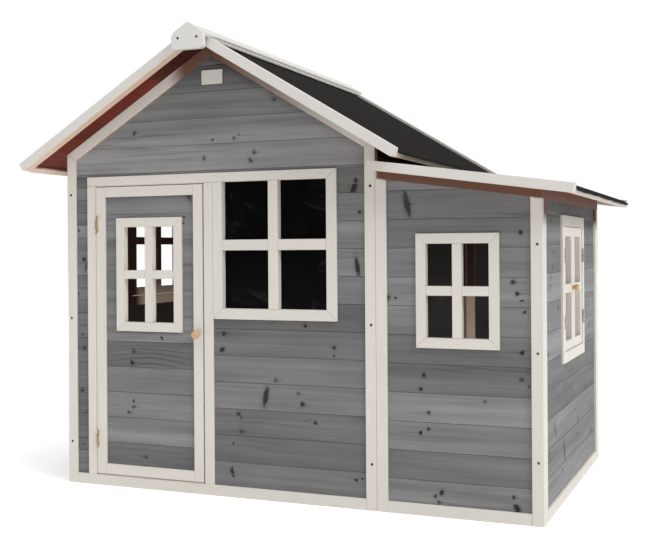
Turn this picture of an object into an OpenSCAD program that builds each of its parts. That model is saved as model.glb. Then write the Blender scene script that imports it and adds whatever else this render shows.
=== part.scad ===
// Children's timber garden house: a gabled main room with a lean-to annex beside it.
// Millimetres, Z up. The front wall faces -Y and the annex stands on the +X side.
// Every wall is a frame of planed battens with horizontal boards set back inside it.

/* [Walls] */
// Width of the main room over its posts
main_w = 1118; // [1060:1:1200]
// Width of the annex over its posts
annex_w = 502; // [440:1:560]
// Depth of the house over its front and back frames
depth = 1072; // [960:1:1200]
// Height of the main room's side walls at their outer face
wall_h = 1117; // [1105:1:1160]
// Height of the annex's outer side wall
annex_h = 965; // [945:1:975]
// Face width of a frame batten
frame_w = 34; // [30:1:36]
// Thickness of a frame batten, front to back
frame_t = 24; // [22:1:30]
// How far the boards lie behind the face of their frame
board_inset = 7; // [3:1:9]
// Thickness of the wall boards
board_t = 10; // [8:1:12]

/* [Main roof] */
// Pitch of the main roof, in degrees
roof_pitch = 31.2; // [30:0.1:32]
// Length of the slope from the ridge line to the eave
roof_run = 762; // [740:1:790]
// How far the foot of a right-hand bargeboard reaches past its upper corner
barge_toe = 7; // [0:1:12]
// Overhang of the roof beyond the front and back walls
overhang = 122; // [100:1:150]
// How far the rim battens hang below the roof boards
rim_drop = 6; // [3:1:10]
// Height of the rim battens, square to the slope
rim_h = 30; // [28:1:36]

/* [Annex roof] */
// Pitch of the annex roof, in degrees
annex_pitch = 8; // [7:0.1:9]
// Length of the annex slope
annex_run = 608; // [570:1:620]
// Overhang of the annex roof beyond the front and back walls
annex_overhang = 76; // [60:1:100]
// How far the annex's rim battens hang below its roof boards
annex_rim_drop = 12; // [8:1:12]
// Height of the annex's rim battens
annex_rim_h = 28; // [26:1:30]
// How far the annex's eave dips below its roof boards
eave_dip = 6; // [0:1:10]

/* [Roof layers] */
// Thickness of the roof boards
roof_board_t = 12; // [10:1:14]
// Thickness of the roof felt
felt_t = 3; // [2:1:4]
// How far the felt reaches past the eave
felt_lip = 6; // [2:1:10]
// Width of the rim battens seen from below
rim_w = 34; // [28:1:40]
// Width of the eave battens
eave_w = 24; // [18:1:30]

/* [Ridge] */
// Width of a ridge cap board down the slope
cap_w = 60; // [50:1:70]
// Thickness of a ridge cap board
cap_t = 10; // [8:1:12]
// Width of the packing strip under a cap board
strip_w = 65; // [60:1:76]
// How far the cap boards reach past the rim battens
cap_lip = 8; // [2:1:12]
// Width of the ridge end pieces
end_w = 111; // [100:1:120]
// Height of the ridge end pieces
end_h = 85; // [78:1:92]
// Thickness of the ridge end pieces
end_t = 18; // [12:1:22]

/* [Doorway] */
// Left edge of the door frame from the left wall
jamb_x = 81; // [60:1:110]
// Face width of the jamb and of the post beside the door
jamb_w = 32; // [26:1:34]
// Clear width of the doorway
doorway_w = 417; // [380:1:430]
// Underside of the rail over the door and the window
head_z = 1008; // [980:1:1020]
// Height of that rail
head_h = 30; // [26:1:34]

/* [Door] */
// Gap between the door leaf and its frame
door_gap = 5; // [5:0.5:8]
// Face width of the leaf's stiles and rails
leaf_bar = 34; // [30:1:40]
// Width of the small window in the door
door_window_w = 251; // [220:1:270]
// Height of the small window in the door
door_window_h = 377; // [340:1:400]
// Underside of the window in the door
door_window_z = 521; // [500:1:560]
// Width of the glazing bars of the small windows
bar_w = 28; // [22:1:32]
// Face width of the frames of the small windows
small_frame_w = 30; // [26:1:32]
// Height of the knob
knob_z = 517; // [480:1:560]
// Diameter of the knob
knob_d = 28; // [22:1:34]
// Height of the middle of the lower hinge
lower_hinge_z = 156; // [120:1:240]
// Height of the middle of the upper hinge
upper_hinge_z = 878; // [800:1:940]
// Length of a hinge
hinge_h = 54; // [40:1:70]

/* [Front window] */
// Right edge of the front window's frame
window_right = 992; // [940:1:1020]
// Underside of the front window's frame
window_z = 568; // [540:1:620]
// Face width of the front window's frame and glazing bars
window_bar = 34; // [28:1:36]
// Thickness of the clear panes
pane_t = 3; // [2:1:4]

/* [Annex window] */
// Width of the annex's front window over its frame
annex_window_w = 250; // [220:1:280]
// Height of the annex's front window over its frame
annex_window_h = 338; // [300:1:360]
// Underside of the annex's front window
annex_window_z = 496; // [460:1:520]

/* [Side windows] */
// Width of a side window over its casing
side_window_w = 420; // [380:1:440]
// Face width of a side window's casing
casing_w = 34; // [28:1:34]
// Underside of the annex's side window
annex_side_low = 426; // [400:1:460]
// Top of the annex's side window
annex_side_high = 892; // [860:1:900]
// Underside of the main room's side window
main_side_low = 585; // [560:1:620]
// Top of the main room's side window
main_side_high = 1068; // [1030:1:1069]
// Gap around the casement leaves
leaf_gap = 2; // [1.5:0.5:3]
// Thickness of the casement leaves
leaf_t = 18; // [16:1:19]
// How far the leaves lie behind the casing's face
leaf_inset = 3.5; // [2:0.5:4]
// Face width of a leaf's stiles
leaf_stile = 32; // [28:1:34]
// Face width of a leaf's top and bottom rails
leaf_rail = 30; // [26:1:34]

/* [Plate] */
// Width of the blank plate under the front apex
plate_w = 76; // [60:1:90]
// Height of the plate
plate_h = 46; // [36:1:54]

/* [Hidden] */
$fn = 48;

trim_colour = "#ded8cf";
board_colour = "#7c7e7d";
soffit_colour = "#6b3328";
felt_colour = "#35322f";
beech_colour = "#d9a066";
brass_colour = "#b08d4a";
pane_colour = [0.75, 0.8, 0.82, 0.45];

// Hairline left open where two battens meet
joint = 0.6;
// Hairline left open under the roof boards
lay = 0.3;

total_w = main_w + annex_w;
ridge_z = wall_h + main_w / 2 * tan(roof_pitch);
annex_x = main_w + joint;
board_y = [board_inset, board_inset + board_t];

// The origin is on the ground, midway between the outermost edges of the felts
main_eave_x = main_w / 2 + (roof_run + felt_lip) * cos(roof_pitch)
  + (lay + roof_board_t + felt_t) * sin(roof_pitch);
annex_eave_x = annex_x + (annex_run + felt_lip) * cos(annex_pitch)
  + (lay + roof_board_t + felt_t - eave_dip) * sin(annex_pitch);
origin_x = (annex_eave_x + main_w - main_eave_x) / 2;

// Top of the main frames, where the roof boards lie
function gable_z(x) = ridge_z - abs(x - main_w / 2) * tan(roof_pitch);
// Lower edge of the gable rafters
function gable_under(x) = gable_z(x) - frame_w / cos(roof_pitch);
// Top of the annex frames, where its roof boards lie
function annex_z(x) = annex_h + (total_w - x) * tan(annex_pitch);
// Lower edge of the annex frames' top rail
function annex_under(x) = annex_z(x) - frame_w / cos(annex_pitch);
// Points of an arc about c, from angle a to angle b
function arc(c, r, a, b, n = 8) =
  [for (i = [0:n]) c + r * [cos(a + (b - a) * i / n), sin(a + (b - a) * i / n)]];

// ---- placing helpers ----

module placed() {
  translate([-origin_x, -depth / 2, 0]) children();
}

// Stands an outline drawn in X and Z between y and y + t
module on_front(y, t) {
  translate([0, y + t, 0]) rotate([90, 0, 0]) linear_extrude(t) children();
}

// Stands an outline drawn in Y and Z between x and x + t
module on_side(x, t) {
  translate([x, 0, 0]) rotate([90, 0, 90]) linear_extrude(t) children();
}

// Draws its children on the left and again on the right of the main room's middle
module both_halves() {
  children();
  translate([main_w, 0, 0]) mirror([1, 0, 0]) children();
}

// Rectangle between two corners
module rect(x0, z0, x1, z1) {
  translate([x0, z0]) square([x1 - x0, z1 - z0]);
}

// Four bars of width b with mitred corners
module mitred_bars(x0, z0, x1, z1, b) {
  polygon([[x0, z0], [x1, z0], [x1 - b, z0 + b], [x0 + b, z0 + b]]);
  polygon([[x0, z1], [x1, z1], [x1 - b, z1 - b], [x0 + b, z1 - b]]);
  side = [
    [x0, z0 + joint], [x0 + b, z0 + b + joint],
    [x0 + b, z1 - b - joint], [x0, z1 - joint]
  ];
  polygon(side);
  polygon([for (p = side) [x0 + x1 - p[0], p[1]]]);
}

// A glazing cross that fills an opening: one upright and two short bars
module cross_bars(x0, z0, x1, z1, b) {
  mid_x = (x0 + x1) / 2;
  mid_z = (z0 + z1) / 2;
  rect(mid_x - b / 2, z0 + joint, mid_x + b / 2, z1 - joint);
  rect(x0 + joint, mid_z - b / 2, mid_x - b / 2 - joint, mid_z + b / 2);
  rect(mid_x + b / 2 + joint, mid_z - b / 2, x1 - joint, mid_z + b / 2);
}

// Four mitred bars with a glazing cross
module four_light_frame(x0, z0, x1, z1, b, bar) {
  mitred_bars(x0, z0, x1, z1, b);
  cross_bars(x0 + b, z0 + b, x1 - b, z1 - b, bar);
}

// ---- main room, front and back ----

// Two posts, a sill and two rafters, mitred at the eaves and the apex
module gable_frame(y) {
  mid = main_w / 2 - joint / 2;
  on_front(y, frame_t) {
    rect(frame_w + joint, 0, main_w - frame_w - joint, frame_w);
    both_halves() {
      polygon([
        [0, 0], [frame_w, 0],
        [frame_w, gable_under(frame_w) - joint], [0, wall_h - joint]
      ]);
      polygon([
        [0, wall_h], [frame_w, gable_under(frame_w)],
        [mid, gable_under(mid)], [mid, gable_z(mid)]
      ]);
    }
  }
}

// Board area under the rafters, above height z
module gable_area(z) {
  polygon([
    [frame_w, z], [main_w - frame_w, z],
    [main_w - frame_w, gable_under(frame_w)],
    [main_w / 2, gable_under(main_w / 2)],
    [frame_w, gable_under(frame_w)]
  ]);
}

head_top = head_z + head_h;
post_x = jamb_x + jamb_w + doorway_w;
post_right = post_x + jamb_w;

module front_frame() {
  color(trim_colour) placed() gable_frame(0);
}

module back_frame() {
  color(trim_colour) placed() gable_frame(depth - frame_t);
}

module front_boards_left() {
  color(board_colour) placed() on_front(board_inset, board_t)
    rect(frame_w, frame_w, jamb_x, head_top);
}

module front_boards_gable() {
  color(board_colour) placed() on_front(board_inset, board_t) gable_area(head_top);
}

module front_boards_right() {
  color(board_colour) placed() on_front(board_inset, board_t) polygon([
    [post_right, frame_w], [main_w - frame_w, frame_w],
    [main_w - frame_w, head_top], [window_right, head_top],
    [window_right, window_z], [post_right, window_z]
  ]);
}

module back_boards() {
  color(board_colour) placed() on_front(depth - board_inset - board_t, board_t)
    gable_area(frame_w);
}

module door_posts() {
  color(trim_colour) placed() on_front(0, frame_t) {
    rect(jamb_x, frame_w, jamb_x + jamb_w, head_z - joint);
    rect(post_x, frame_w, post_right, head_z - joint);
  }
}

// One rail over the door and the window, mitred at its right end
module head_rail() {
  color(trim_colour) placed() on_front(0, frame_t) polygon([
    [jamb_x, head_z], [window_right - window_bar, head_z],
    [window_right, head_top], [jamb_x, head_top]
  ]);
}

// The front window hangs under the head rail, beside the door post
module front_window_frame() {
  left = post_right + joint;
  color(trim_colour) placed() on_front(0, frame_t) {
    polygon([
      [left, window_z], [window_right, window_z],
      [window_right - window_bar, window_z + window_bar],
      [left + window_bar, window_z + window_bar]
    ]);
    polygon([
      [left, window_z + joint], [left + window_bar, window_z + window_bar + joint],
      [left + window_bar, head_z - joint], [left, head_z - joint]
    ]);
    polygon([
      [window_right, window_z + joint], [window_right, head_top - joint],
      [window_right - window_bar, head_z - joint],
      [window_right - window_bar, window_z + window_bar + joint]
    ]);
    cross_bars(left + window_bar, window_z + window_bar,
               window_right - window_bar, head_z, window_bar);
  }
}

// Clear sheets behind the front window and the annex's front window
module window_panes() {
  edge = 10;
  color(pane_colour) placed() on_front(frame_t, pane_t) {
    rect(post_right + edge, window_z + edge, window_right - edge, head_top - edge);
    rect(annex_window_x + edge, annex_window_z + edge,
         annex_window_x + annex_window_w - edge, annex_window_z + annex_window_h - edge);
  }
}

// A bare plate on the boards under the apex
module name_plate() {
  plate_t = 4;
  below_apex = 92;
  off_centre = 3;
  plate_x = (main_w - plate_w) / 2 + off_centre;
  plate_z = gable_under(main_w / 2) - below_apex;
  color(trim_colour) placed() on_front(board_inset - plate_t, plate_t)
    rect(plate_x, plate_z, plate_x + plate_w, plate_z + plate_h);
}

// ---- annex, front and back ----

annex_window_x = annex_x + (annex_w - annex_window_w) / 2;

// Two posts, a sill and a sloping top rail, mitred at the top corners
module annex_frame(y) {
  left = annex_x;
  right = total_w;
  on_front(y, frame_t) {
    rect(left + frame_w + joint, 0, right - frame_w - joint, frame_w);
    polygon([
      [left, 0], [left + frame_w, 0],
      [left + frame_w, annex_under(left + frame_w) - joint], [left, annex_z(left) - joint]
    ]);
    polygon([
      [right - frame_w, 0], [right, 0],
      [right, annex_z(right) - joint], [right - frame_w, annex_under(right - frame_w) - joint]
    ]);
    polygon([
      [left, annex_z(left)], [left + frame_w, annex_under(left + frame_w)],
      [right - frame_w, annex_under(right - frame_w)], [right, annex_z(right)]
    ]);
  }
}

// Board area inside the annex frame
module annex_area() {
  left = annex_x + frame_w;
  right = total_w - frame_w;
  polygon([
    [left, frame_w], [right, frame_w], [right, annex_under(right)], [left, annex_under(left)]
  ]);
}

module annex_front_frame() {
  color(trim_colour) placed() annex_frame(0);
}

module annex_back_frame() {
  color(trim_colour) placed() annex_frame(depth - frame_t);
}

module annex_front_boards() {
  color(board_colour) placed() on_front(board_inset, board_t) difference() {
    annex_area();
    rect(annex_window_x, annex_window_z,
         annex_window_x + annex_window_w, annex_window_z + annex_window_h);
  }
}

module annex_back_boards() {
  color(board_colour) placed() on_front(depth - board_inset - board_t, board_t) annex_area();
}

module annex_window_frame() {
  color(trim_colour) placed() on_front(0, frame_t)
    four_light_frame(annex_window_x, annex_window_z,
                     annex_window_x + annex_window_w, annex_window_z + annex_window_h,
                     small_frame_w, bar_w);
}

// ---- side walls ----

side_y0 = frame_t + joint;
side_y1 = depth - side_y0;
side_window_y = (depth - side_window_w) / 2;
annex_side_zs = [annex_side_low, annex_side_high];
main_side_zs = [main_side_low, main_side_high];

// Posts and a sill in the plane of a side wall, up to the underside of the top rail
module side_posts(x, rail_z) {
  on_side(x, frame_t) {
    rect(side_y0, 0, side_y0 + frame_w, rail_z - joint);
    rect(side_y1 - frame_w, 0, side_y1, rail_z - joint);
    rect(side_y0 + frame_w + joint, 0, side_y1 - frame_w - joint, frame_w);
  }
}

module left_wall_frame() {
  rail_z = wall_h - frame_w;
  color(trim_colour) placed() {
    side_posts(0, rail_z);
    on_front(side_y0, side_y1 - side_y0) polygon([
      [0, rail_z], [frame_t, rail_z], [frame_t, gable_z(frame_t)], [0, gable_z(0)]
    ]);
  }
}

module right_wall_frame() {
  rail_z = annex_h - frame_w;
  inner = total_w - frame_t;
  color(trim_colour) placed() {
    side_posts(inner, rail_z);
    on_front(side_y0, side_y1 - side_y0) polygon([
      [inner, rail_z], [total_w, rail_z], [total_w, annex_z(total_w)], [inner, annex_z(inner)]
    ]);
  }
}

// Board area of a side wall with the hole for its window
module side_area(rail_z, zs) {
  difference() {
    rect(side_y0 + frame_w, frame_w, side_y1 - frame_w, rail_z);
    rect(side_window_y, zs[0], side_window_y + side_window_w, zs[1]);
  }
}

module left_wall_boards() {
  color(board_colour) placed() on_side(board_inset, board_t)
    side_area(wall_h - frame_w, main_side_zs);
}

module right_wall_boards() {
  color(board_colour) placed() on_side(total_w - board_inset - board_t, board_t)
    side_area(annex_h - frame_w, annex_side_zs);
}

module side_casing(zs) {
  mitred_bars(side_window_y, zs[0], side_window_y + side_window_w, zs[1], casing_w);
}

module left_window_casing() {
  color(trim_colour) placed() on_side(0, frame_t) side_casing(main_side_zs);
}

module right_window_casing() {
  color(trim_colour) placed() on_side(total_w - frame_t, frame_t) side_casing(annex_side_zs);
}

leaf_w = (side_window_w - 2 * casing_w - 3 * leaf_gap) / 2;
function leaf_y(i) = side_window_y + casing_w + leaf_gap + i * (leaf_w + leaf_gap);
function leaf_z0(zs) = zs[0] + casing_w + leaf_gap;
function leaf_z1(zs) = zs[1] - casing_w - leaf_gap;
function leaf_mid(zs) = (zs[0] + zs[1]) / 2;

// A pair of casement leaves: each has two stiles and three rails round two openings
module leaf_pair(zs) {
  z0 = leaf_z0(zs);
  z1 = leaf_z1(zs);
  bar_z = leaf_mid(zs) - bar_w / 2;
  for (i = [0, 1]) {
    y0 = leaf_y(i);
    y1 = y0 + leaf_w;
    rect(y0, z0, y0 + leaf_stile, z1);
    rect(y1 - leaf_stile, z0, y1, z1);
    for (rail = [[z0, leaf_rail], [bar_z, bar_w], [z1 - leaf_rail, leaf_rail]])
      rect(y0 + leaf_stile + joint, rail[0], y1 - leaf_stile - joint, rail[0] + rail[1]);
  }
}

module left_casements() {
  color(trim_colour) placed() on_side(leaf_inset, leaf_t) leaf_pair(main_side_zs);
}

module right_casements() {
  color(trim_colour) placed() on_side(total_w - leaf_inset - leaf_t, leaf_t)
    leaf_pair(annex_side_zs);
}

barrel_r = 3;

// Hinge barrels over the gaps at the outer edges of a pair of leaves
module barrel_set(x, zs) {
  length = 46;
  from_corner = 92;
  for (y = [leaf_y(0) - leaf_gap / 2, leaf_y(1) + leaf_w + leaf_gap / 2])
    for (z = [leaf_z0(zs) + from_corner, leaf_z1(zs) - from_corner])
      translate([x, y, z - length / 2]) cylinder(h = length, r = barrel_r);
}

module window_hinges() {
  color(brass_colour) placed() {
    barrel_set(-barrel_r, main_side_zs);
    barrel_set(total_w + barrel_r, annex_side_zs);
  }
}

// A turned knob with its foot at the origin, standing along +Z: a neck and a ball cut flat in front
module turned_knob(d) {
  r = d / 2;
  neck_r = 0.26 * d;
  ball_z = 0.65 * d;
  height = 0.99 * d;
  rotate_extrude() intersection() {
    square([d, height]);
    union() {
      square([neck_r, ball_z]);
      translate([0, ball_z]) circle(r = r);
    }
  }
}

// One knob on each pair of leaves, on the meeting stile
module window_knobs() {
  d = 22;
  y = leaf_y(0) + leaf_w - leaf_stile / 2;
  color(beech_colour) placed() {
    translate([leaf_inset, y, leaf_mid(main_side_zs)]) rotate([0, -90, 0]) turned_knob(d);
    translate([total_w - leaf_inset, y, leaf_mid(annex_side_zs)])
      rotate([0, 90, 0]) turned_knob(d);
  }
}

// The beam between the two rooms, under the main eave and above the open passage
module header_beam() {
  inner = main_w - frame_t;
  bottom = annex_under(main_w);
  color(trim_colour) placed() on_front(side_y0, side_y1 - side_y0) polygon([
    [inner, bottom], [main_w, bottom], [main_w, gable_z(main_w)], [inner, gable_z(inner)]
  ]);
}

// ---- main roof ----

rim_y0 = -overhang;
rim_y1 = depth + overhang;
board_top = lay + roof_board_t;
felt_top = board_top + felt_t;
ridge_felt_top = felt_top + felt_t;
rim_top = rim_h - rim_drop;

// Slope frame: X down the slope from the ridge line, Z square to the slope
module on_slope() {
  translate([main_w / 2, 0, ridge_z]) rotate([0, roof_pitch, 0]) children();
}

module left_side() {
  translate([main_w, 0, 0]) mirror([1, 0, 0]) children();
}

// Where a layer at height z stops, a hairline short of the ridge plane
function ridge_s(z) = joint / 2 / cos(roof_pitch) - z * tan(roof_pitch);

// A layer between heights z0 and z1 that reaches up to the ridge plane
module slope_layer(z0, z1, run, y0, y1) {
  on_front(y0, y1 - y0) polygon([
    [ridge_s(z0), z0], [run, z0], [run, z1], [ridge_s(z1), z1]
  ]);
}

module roof_boards() {
  on_slope() slope_layer(lay, board_top, roof_run - eave_w, rim_y0 + rim_w, rim_y1 - rim_w);
}

// One sheet, with a second strip laid along the ridge under the cap
module roof_felt() {
  on_slope() on_front(rim_y0 + rim_w, rim_y1 - rim_y0 - 2 * rim_w) polygon([
    [ridge_s(board_top), board_top], [roof_run + felt_lip, board_top],
    [roof_run + felt_lip, felt_top], [strip_w, felt_top],
    [strip_w, ridge_felt_top], [ridge_s(ridge_felt_top), ridge_felt_top]
  ]);
}

// A rim batten on the gable end, with its lower corner rounded
module rim_batten(y, toe) {
  r = 8;
  on_slope() on_front(y, rim_w) polygon(concat(
    [[ridge_s(rim_top), rim_top], [ridge_s(-rim_drop), -rim_drop]],
    arc([roof_run + toe - r, r - rim_drop], r, -90, 0),
    [[roof_run, rim_top]]
  ));
}

// The left batten is cut square and the right one runs out in a toe
module rim_pair(y) {
  left_side() rim_batten(y, 0);
  rim_batten(y, barge_toe);
}

module eave_batten() {
  on_slope() translate([roof_run - eave_w, rim_y0 + rim_w, -rim_drop])
    cube([eave_w, rim_y1 - rim_y0 - 2 * rim_w, rim_drop + board_top]);
}

module roof_boards_right() {
  color(soffit_colour) placed() roof_boards();
}

module roof_boards_left() {
  color(soffit_colour) placed() left_side() roof_boards();
}

module roof_felt_right() {
  color(felt_colour) placed() roof_felt();
}

module roof_felt_left() {
  color(felt_colour) placed() left_side() roof_felt();
}

module front_bargeboards() {
  color(trim_colour) placed() rim_pair(rim_y0);
}

module back_bargeboards() {
  color(trim_colour) placed() rim_pair(rim_y1 - rim_w);
}

// The two eave battens of the main roof, and the annex's, which is planed down outwards
module eave_battens() {
  color(trim_colour) placed() {
    both_halves() eave_batten();
    along_annex() polygon([
      [annex_run - eave_w, -annex_rim_drop], [annex_run, -annex_rim_drop],
      [annex_run, board_top - eave_dip], [annex_run - eave_w, board_top]
    ]);
  }
}

// ---- ridge ----

cap_y0 = rim_y0 - cap_lip;
cap_y1 = rim_y1 + cap_lip;

// Two cap boards on two packing strips
module ridge_cap() {
  color(trim_colour) placed() both_halves() on_slope() {
    slope_layer(ridge_felt_top, rim_top, strip_w, rim_y0 + rim_w, rim_y1 - rim_w);
    slope_layer(rim_top, rim_top + cap_t, cap_w, cap_y0, cap_y1);
  }
}

// Five-sided piece with round shoulders, drawn about the ridge
module end_outline() {
  apex = ridge_z + (rim_top + cap_t) / cos(roof_pitch);
  shoulder_r = 25;
  foot_r = 10;
  half = end_w / 2;
  shoulder_x = half - shoulder_r;
  shoulder = [
    shoulder_x,
    apex - shoulder_x * tan(roof_pitch) - shoulder_r / cos(roof_pitch)
  ];
  right = concat(
    [[0, apex]],
    arc(shoulder, shoulder_r, 90 - roof_pitch, 0),
    arc([half - foot_r, apex - end_h + foot_r], foot_r, 0, -90)
  );
  left = [for (i = [len(right) - 1:-1:1]) [-right[i][0], right[i][1]]];
  translate([main_w / 2, 0]) polygon(concat(right, left));
}

module ridge_end_pieces() {
  color(trim_colour) placed() {
    on_front(cap_y0 - end_t, end_t) end_outline();
    on_front(cap_y1, end_t) end_outline();
  }
}

// ---- annex roof ----

annex_y0 = -annex_overhang;
annex_y1 = depth + annex_overhang;

// Slope frame of the annex: X down the slope from the main wall, Z square to it
module on_annex_slope() {
  translate([annex_x, 0, annex_z(annex_x)]) rotate([0, annex_pitch, 0]) children();
}

// Runs an outline of the annex's slope between its two bargeboards
module along_annex() {
  on_annex_slope() on_front(annex_y0 + rim_w, annex_y1 - annex_y0 - 2 * rim_w) children();
}

module annex_roof_boards() {
  color(soffit_colour) placed() along_annex() rect(0, lay, annex_run - eave_w, board_top);
}

// The felt follows the boards and dips over the eave batten
module annex_roof_felt() {
  bend = annex_run - eave_w;
  lip = annex_run + felt_lip;
  color(felt_colour) placed() along_annex() polygon([
    [0, board_top], [bend, board_top], [annex_run, board_top - eave_dip], [lip, board_top - eave_dip],
    [lip, felt_top - eave_dip], [annex_run, felt_top - eave_dip], [bend, felt_top], [0, felt_top]
  ]);
}

module annex_bargeboards() {
  color(trim_colour) placed() on_annex_slope()
    for (y = [annex_y0, annex_y1 - rim_w])
      translate([0, y, -annex_rim_drop]) cube([annex_run, rim_w, annex_rim_h]);
}

// ---- door ----

leaf_x0 = jamb_x + jamb_w + door_gap;
leaf_x1 = post_x - door_gap;
leaf_z_low = frame_w + door_gap;
leaf_z_top = head_z - door_gap;
door_window_x = (leaf_x0 + leaf_x1 - door_window_w) / 2;
// The pins stand in front of the leaf, just inside its left edge
hinge_axis = [leaf_x0 + 3.5, -3.6];

// Two full-height stiles with two rails between them
module door_frame() {
  color(trim_colour) placed() on_front(0, frame_t) {
    rect(leaf_x0, leaf_z_low, leaf_x0 + leaf_bar, leaf_z_top);
    rect(leaf_x1 - leaf_bar, leaf_z_low, leaf_x1, leaf_z_top);
    for (z = [leaf_z_low, leaf_z_top - leaf_bar])
      rect(leaf_x0 + leaf_bar + joint, z, leaf_x1 - leaf_bar - joint, z + leaf_bar);
  }
}

module door_boards() {
  color(board_colour) placed() on_front(board_inset, board_t) difference() {
    rect(leaf_x0 + leaf_bar, leaf_z_low + leaf_bar, leaf_x1 - leaf_bar, leaf_z_top - leaf_bar);
    rect(door_window_x, door_window_z,
         door_window_x + door_window_w, door_window_z + door_window_h);
  }
}

module door_window() {
  color(trim_colour) placed() on_front(0, frame_t)
    four_light_frame(door_window_x, door_window_z,
                     door_window_x + door_window_w, door_window_z + door_window_h,
                     small_frame_w, bar_w);
}

module door_knob() {
  color(beech_colour) placed()
    translate([leaf_x1 - leaf_bar / 2, 0, knob_z]) rotate([90, 0, 0]) turned_knob(knob_d);
}

pin_r = 1.3;
pin_clearance = 0.3;
door_barrel_r = 2.8;
knuckle_h = 10;
hinge_plate_t = 1.2;

// Runs its children once for each door hinge, at the foot of the hinge on the axis
module at_hinges() {
  for (z = [lower_hinge_z, upper_hinge_z])
    translate([hinge_axis[0], hinge_axis[1], z - hinge_h / 2]) children();
}

// Fixed half: the pin, a knuckle at each end, and their straps round the jamb's edge
module hinge_pins() {
  jamb_dx = jamb_x + jamb_w - hinge_axis[0];
  plate_depth = 22;
  color(brass_colour) placed() at_hinges() {
    cylinder(h = hinge_h, r = pin_r);
    for (z = [0, hinge_h - knuckle_h]) translate([0, 0, z]) {
      cylinder(h = knuckle_h, r = door_barrel_r);
      translate([jamb_dx, 0, 0]) cube([-jamb_dx, hinge_plate_t, knuckle_h]);
      translate([jamb_dx, 0, 0]) cube([hinge_plate_t, plate_depth, knuckle_h]);
    }
  }
}

// Moving half: the long middle knuckle, bored for the pin, and its plate on the leaf's face
module hinge_knuckles() {
  gap = 0.5;
  bored_h = hinge_h - 2 * (knuckle_h + gap);
  plate_x = 1;
  plate_w = 4;
  color(brass_colour) placed() at_hinges() translate([0, 0, knuckle_h + gap]) difference() {
    union() {
      cylinder(h = bored_h, r = door_barrel_r);
      translate([-plate_x, 0, 0]) cube([plate_w, -hinge_axis[1] - lay, bored_h]);
    }
    translate([0, 0, -gap]) cylinder(h = bored_h + 2 * gap, r = pin_r + pin_clearance);
  }
}

front_frame();
front_boards_left();
front_boards_gable();
front_boards_right();
door_posts();
head_rail();
front_window_frame();
window_panes();
back_frame();
back_boards();
annex_front_frame();
annex_front_boards();
annex_window_frame();
annex_back_frame();
annex_back_boards();
right_wall_frame();
right_wall_boards();
right_window_casing();
right_casements();
left_wall_frame();
left_wall_boards();
left_window_casing();
left_casements();
window_hinges();
window_knobs();
header_beam();
roof_boards_left();
roof_boards_right();
roof_felt_left();
roof_felt_right();
front_bargeboards();
back_bargeboards();
eave_battens();
ridge_cap();
ridge_end_pieces();
annex_roof_boards();
annex_roof_felt();
annex_bargeboards();
name_plate();
hinge_pins();
door_frame();
door_boards();
door_window();
door_knob();
hinge_knuckles();
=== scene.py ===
"""Dresses the garden house: separate boards, painted timbers, felted roofs, panes and fixings.

Lengths are in metres, and places come from the boxes of the frame's nodes.
"""
import logging
import math
from collections.abc import Callable, Sequence
from dataclasses import dataclass, field, replace
from enum import Enum
from functools import cache

import bpy
import numpy as np
from mathutils import Matrix, Vector


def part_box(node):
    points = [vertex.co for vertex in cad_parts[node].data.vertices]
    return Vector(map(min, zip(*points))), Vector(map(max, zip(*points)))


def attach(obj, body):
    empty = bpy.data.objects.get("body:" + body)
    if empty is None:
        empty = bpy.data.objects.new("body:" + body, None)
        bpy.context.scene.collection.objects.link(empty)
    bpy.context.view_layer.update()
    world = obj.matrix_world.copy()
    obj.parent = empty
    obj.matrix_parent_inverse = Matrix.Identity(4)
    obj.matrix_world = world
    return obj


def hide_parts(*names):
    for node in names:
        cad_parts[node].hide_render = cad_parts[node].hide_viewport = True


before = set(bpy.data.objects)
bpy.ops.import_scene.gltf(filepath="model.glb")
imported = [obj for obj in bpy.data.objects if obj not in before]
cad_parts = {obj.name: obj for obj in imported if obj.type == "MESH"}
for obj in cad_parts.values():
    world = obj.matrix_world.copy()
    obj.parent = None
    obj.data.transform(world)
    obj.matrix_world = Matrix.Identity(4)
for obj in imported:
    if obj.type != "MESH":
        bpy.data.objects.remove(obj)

LOG = logging.getLogger("garden_house")
MM = 0.001
ROOF_PITCH = math.radians(31.2)
ANNEX_PITCH = math.radians(8)
FRAMING = 34 * MM  # The width of the house's framing.
SLIVER = 0.5 * MM  # A stretch of board up to this size isn't made.
DIGITS = 6  # Places are told apart to a millionth of a metre.
TURN = 6.283  # A full turn, in radians.

Array = np.ndarray
Pair = tuple[float, float]
Point = tuple[float, float, float]
Colour = tuple[float, float, float, float]


def swatch(*levels: float) -> Colour:
    """A colour's red, green and blue, 0 to 255 as a painter reads them, in scene-linear values."""
    linear = ((np.array(levels) / 255.0 + 0.055) / 1.055) ** 2.4
    return (*linear.tolist(), 1.0)


# ---------------------------------------------------------------- shader arithmetic


def math_method(operation: str, flipped: bool = False) -> Callable[..., "Term"]:
    """Makes a method of Term that adds one Math node.

    Args:
        operation: The node's operation.
        flipped: Whether self comes after the other value.

    Returns:
        The method.
    """
    def method(self: "Term", *others: "Term | float") -> "Term":
        """The operation's result on self and any others."""
        values = (*others, self) if flipped else (self, *others)
        return self.shade.node("ShaderNodeMath", {"operation": operation}, dict(enumerate(values))).out()

    return method


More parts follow.
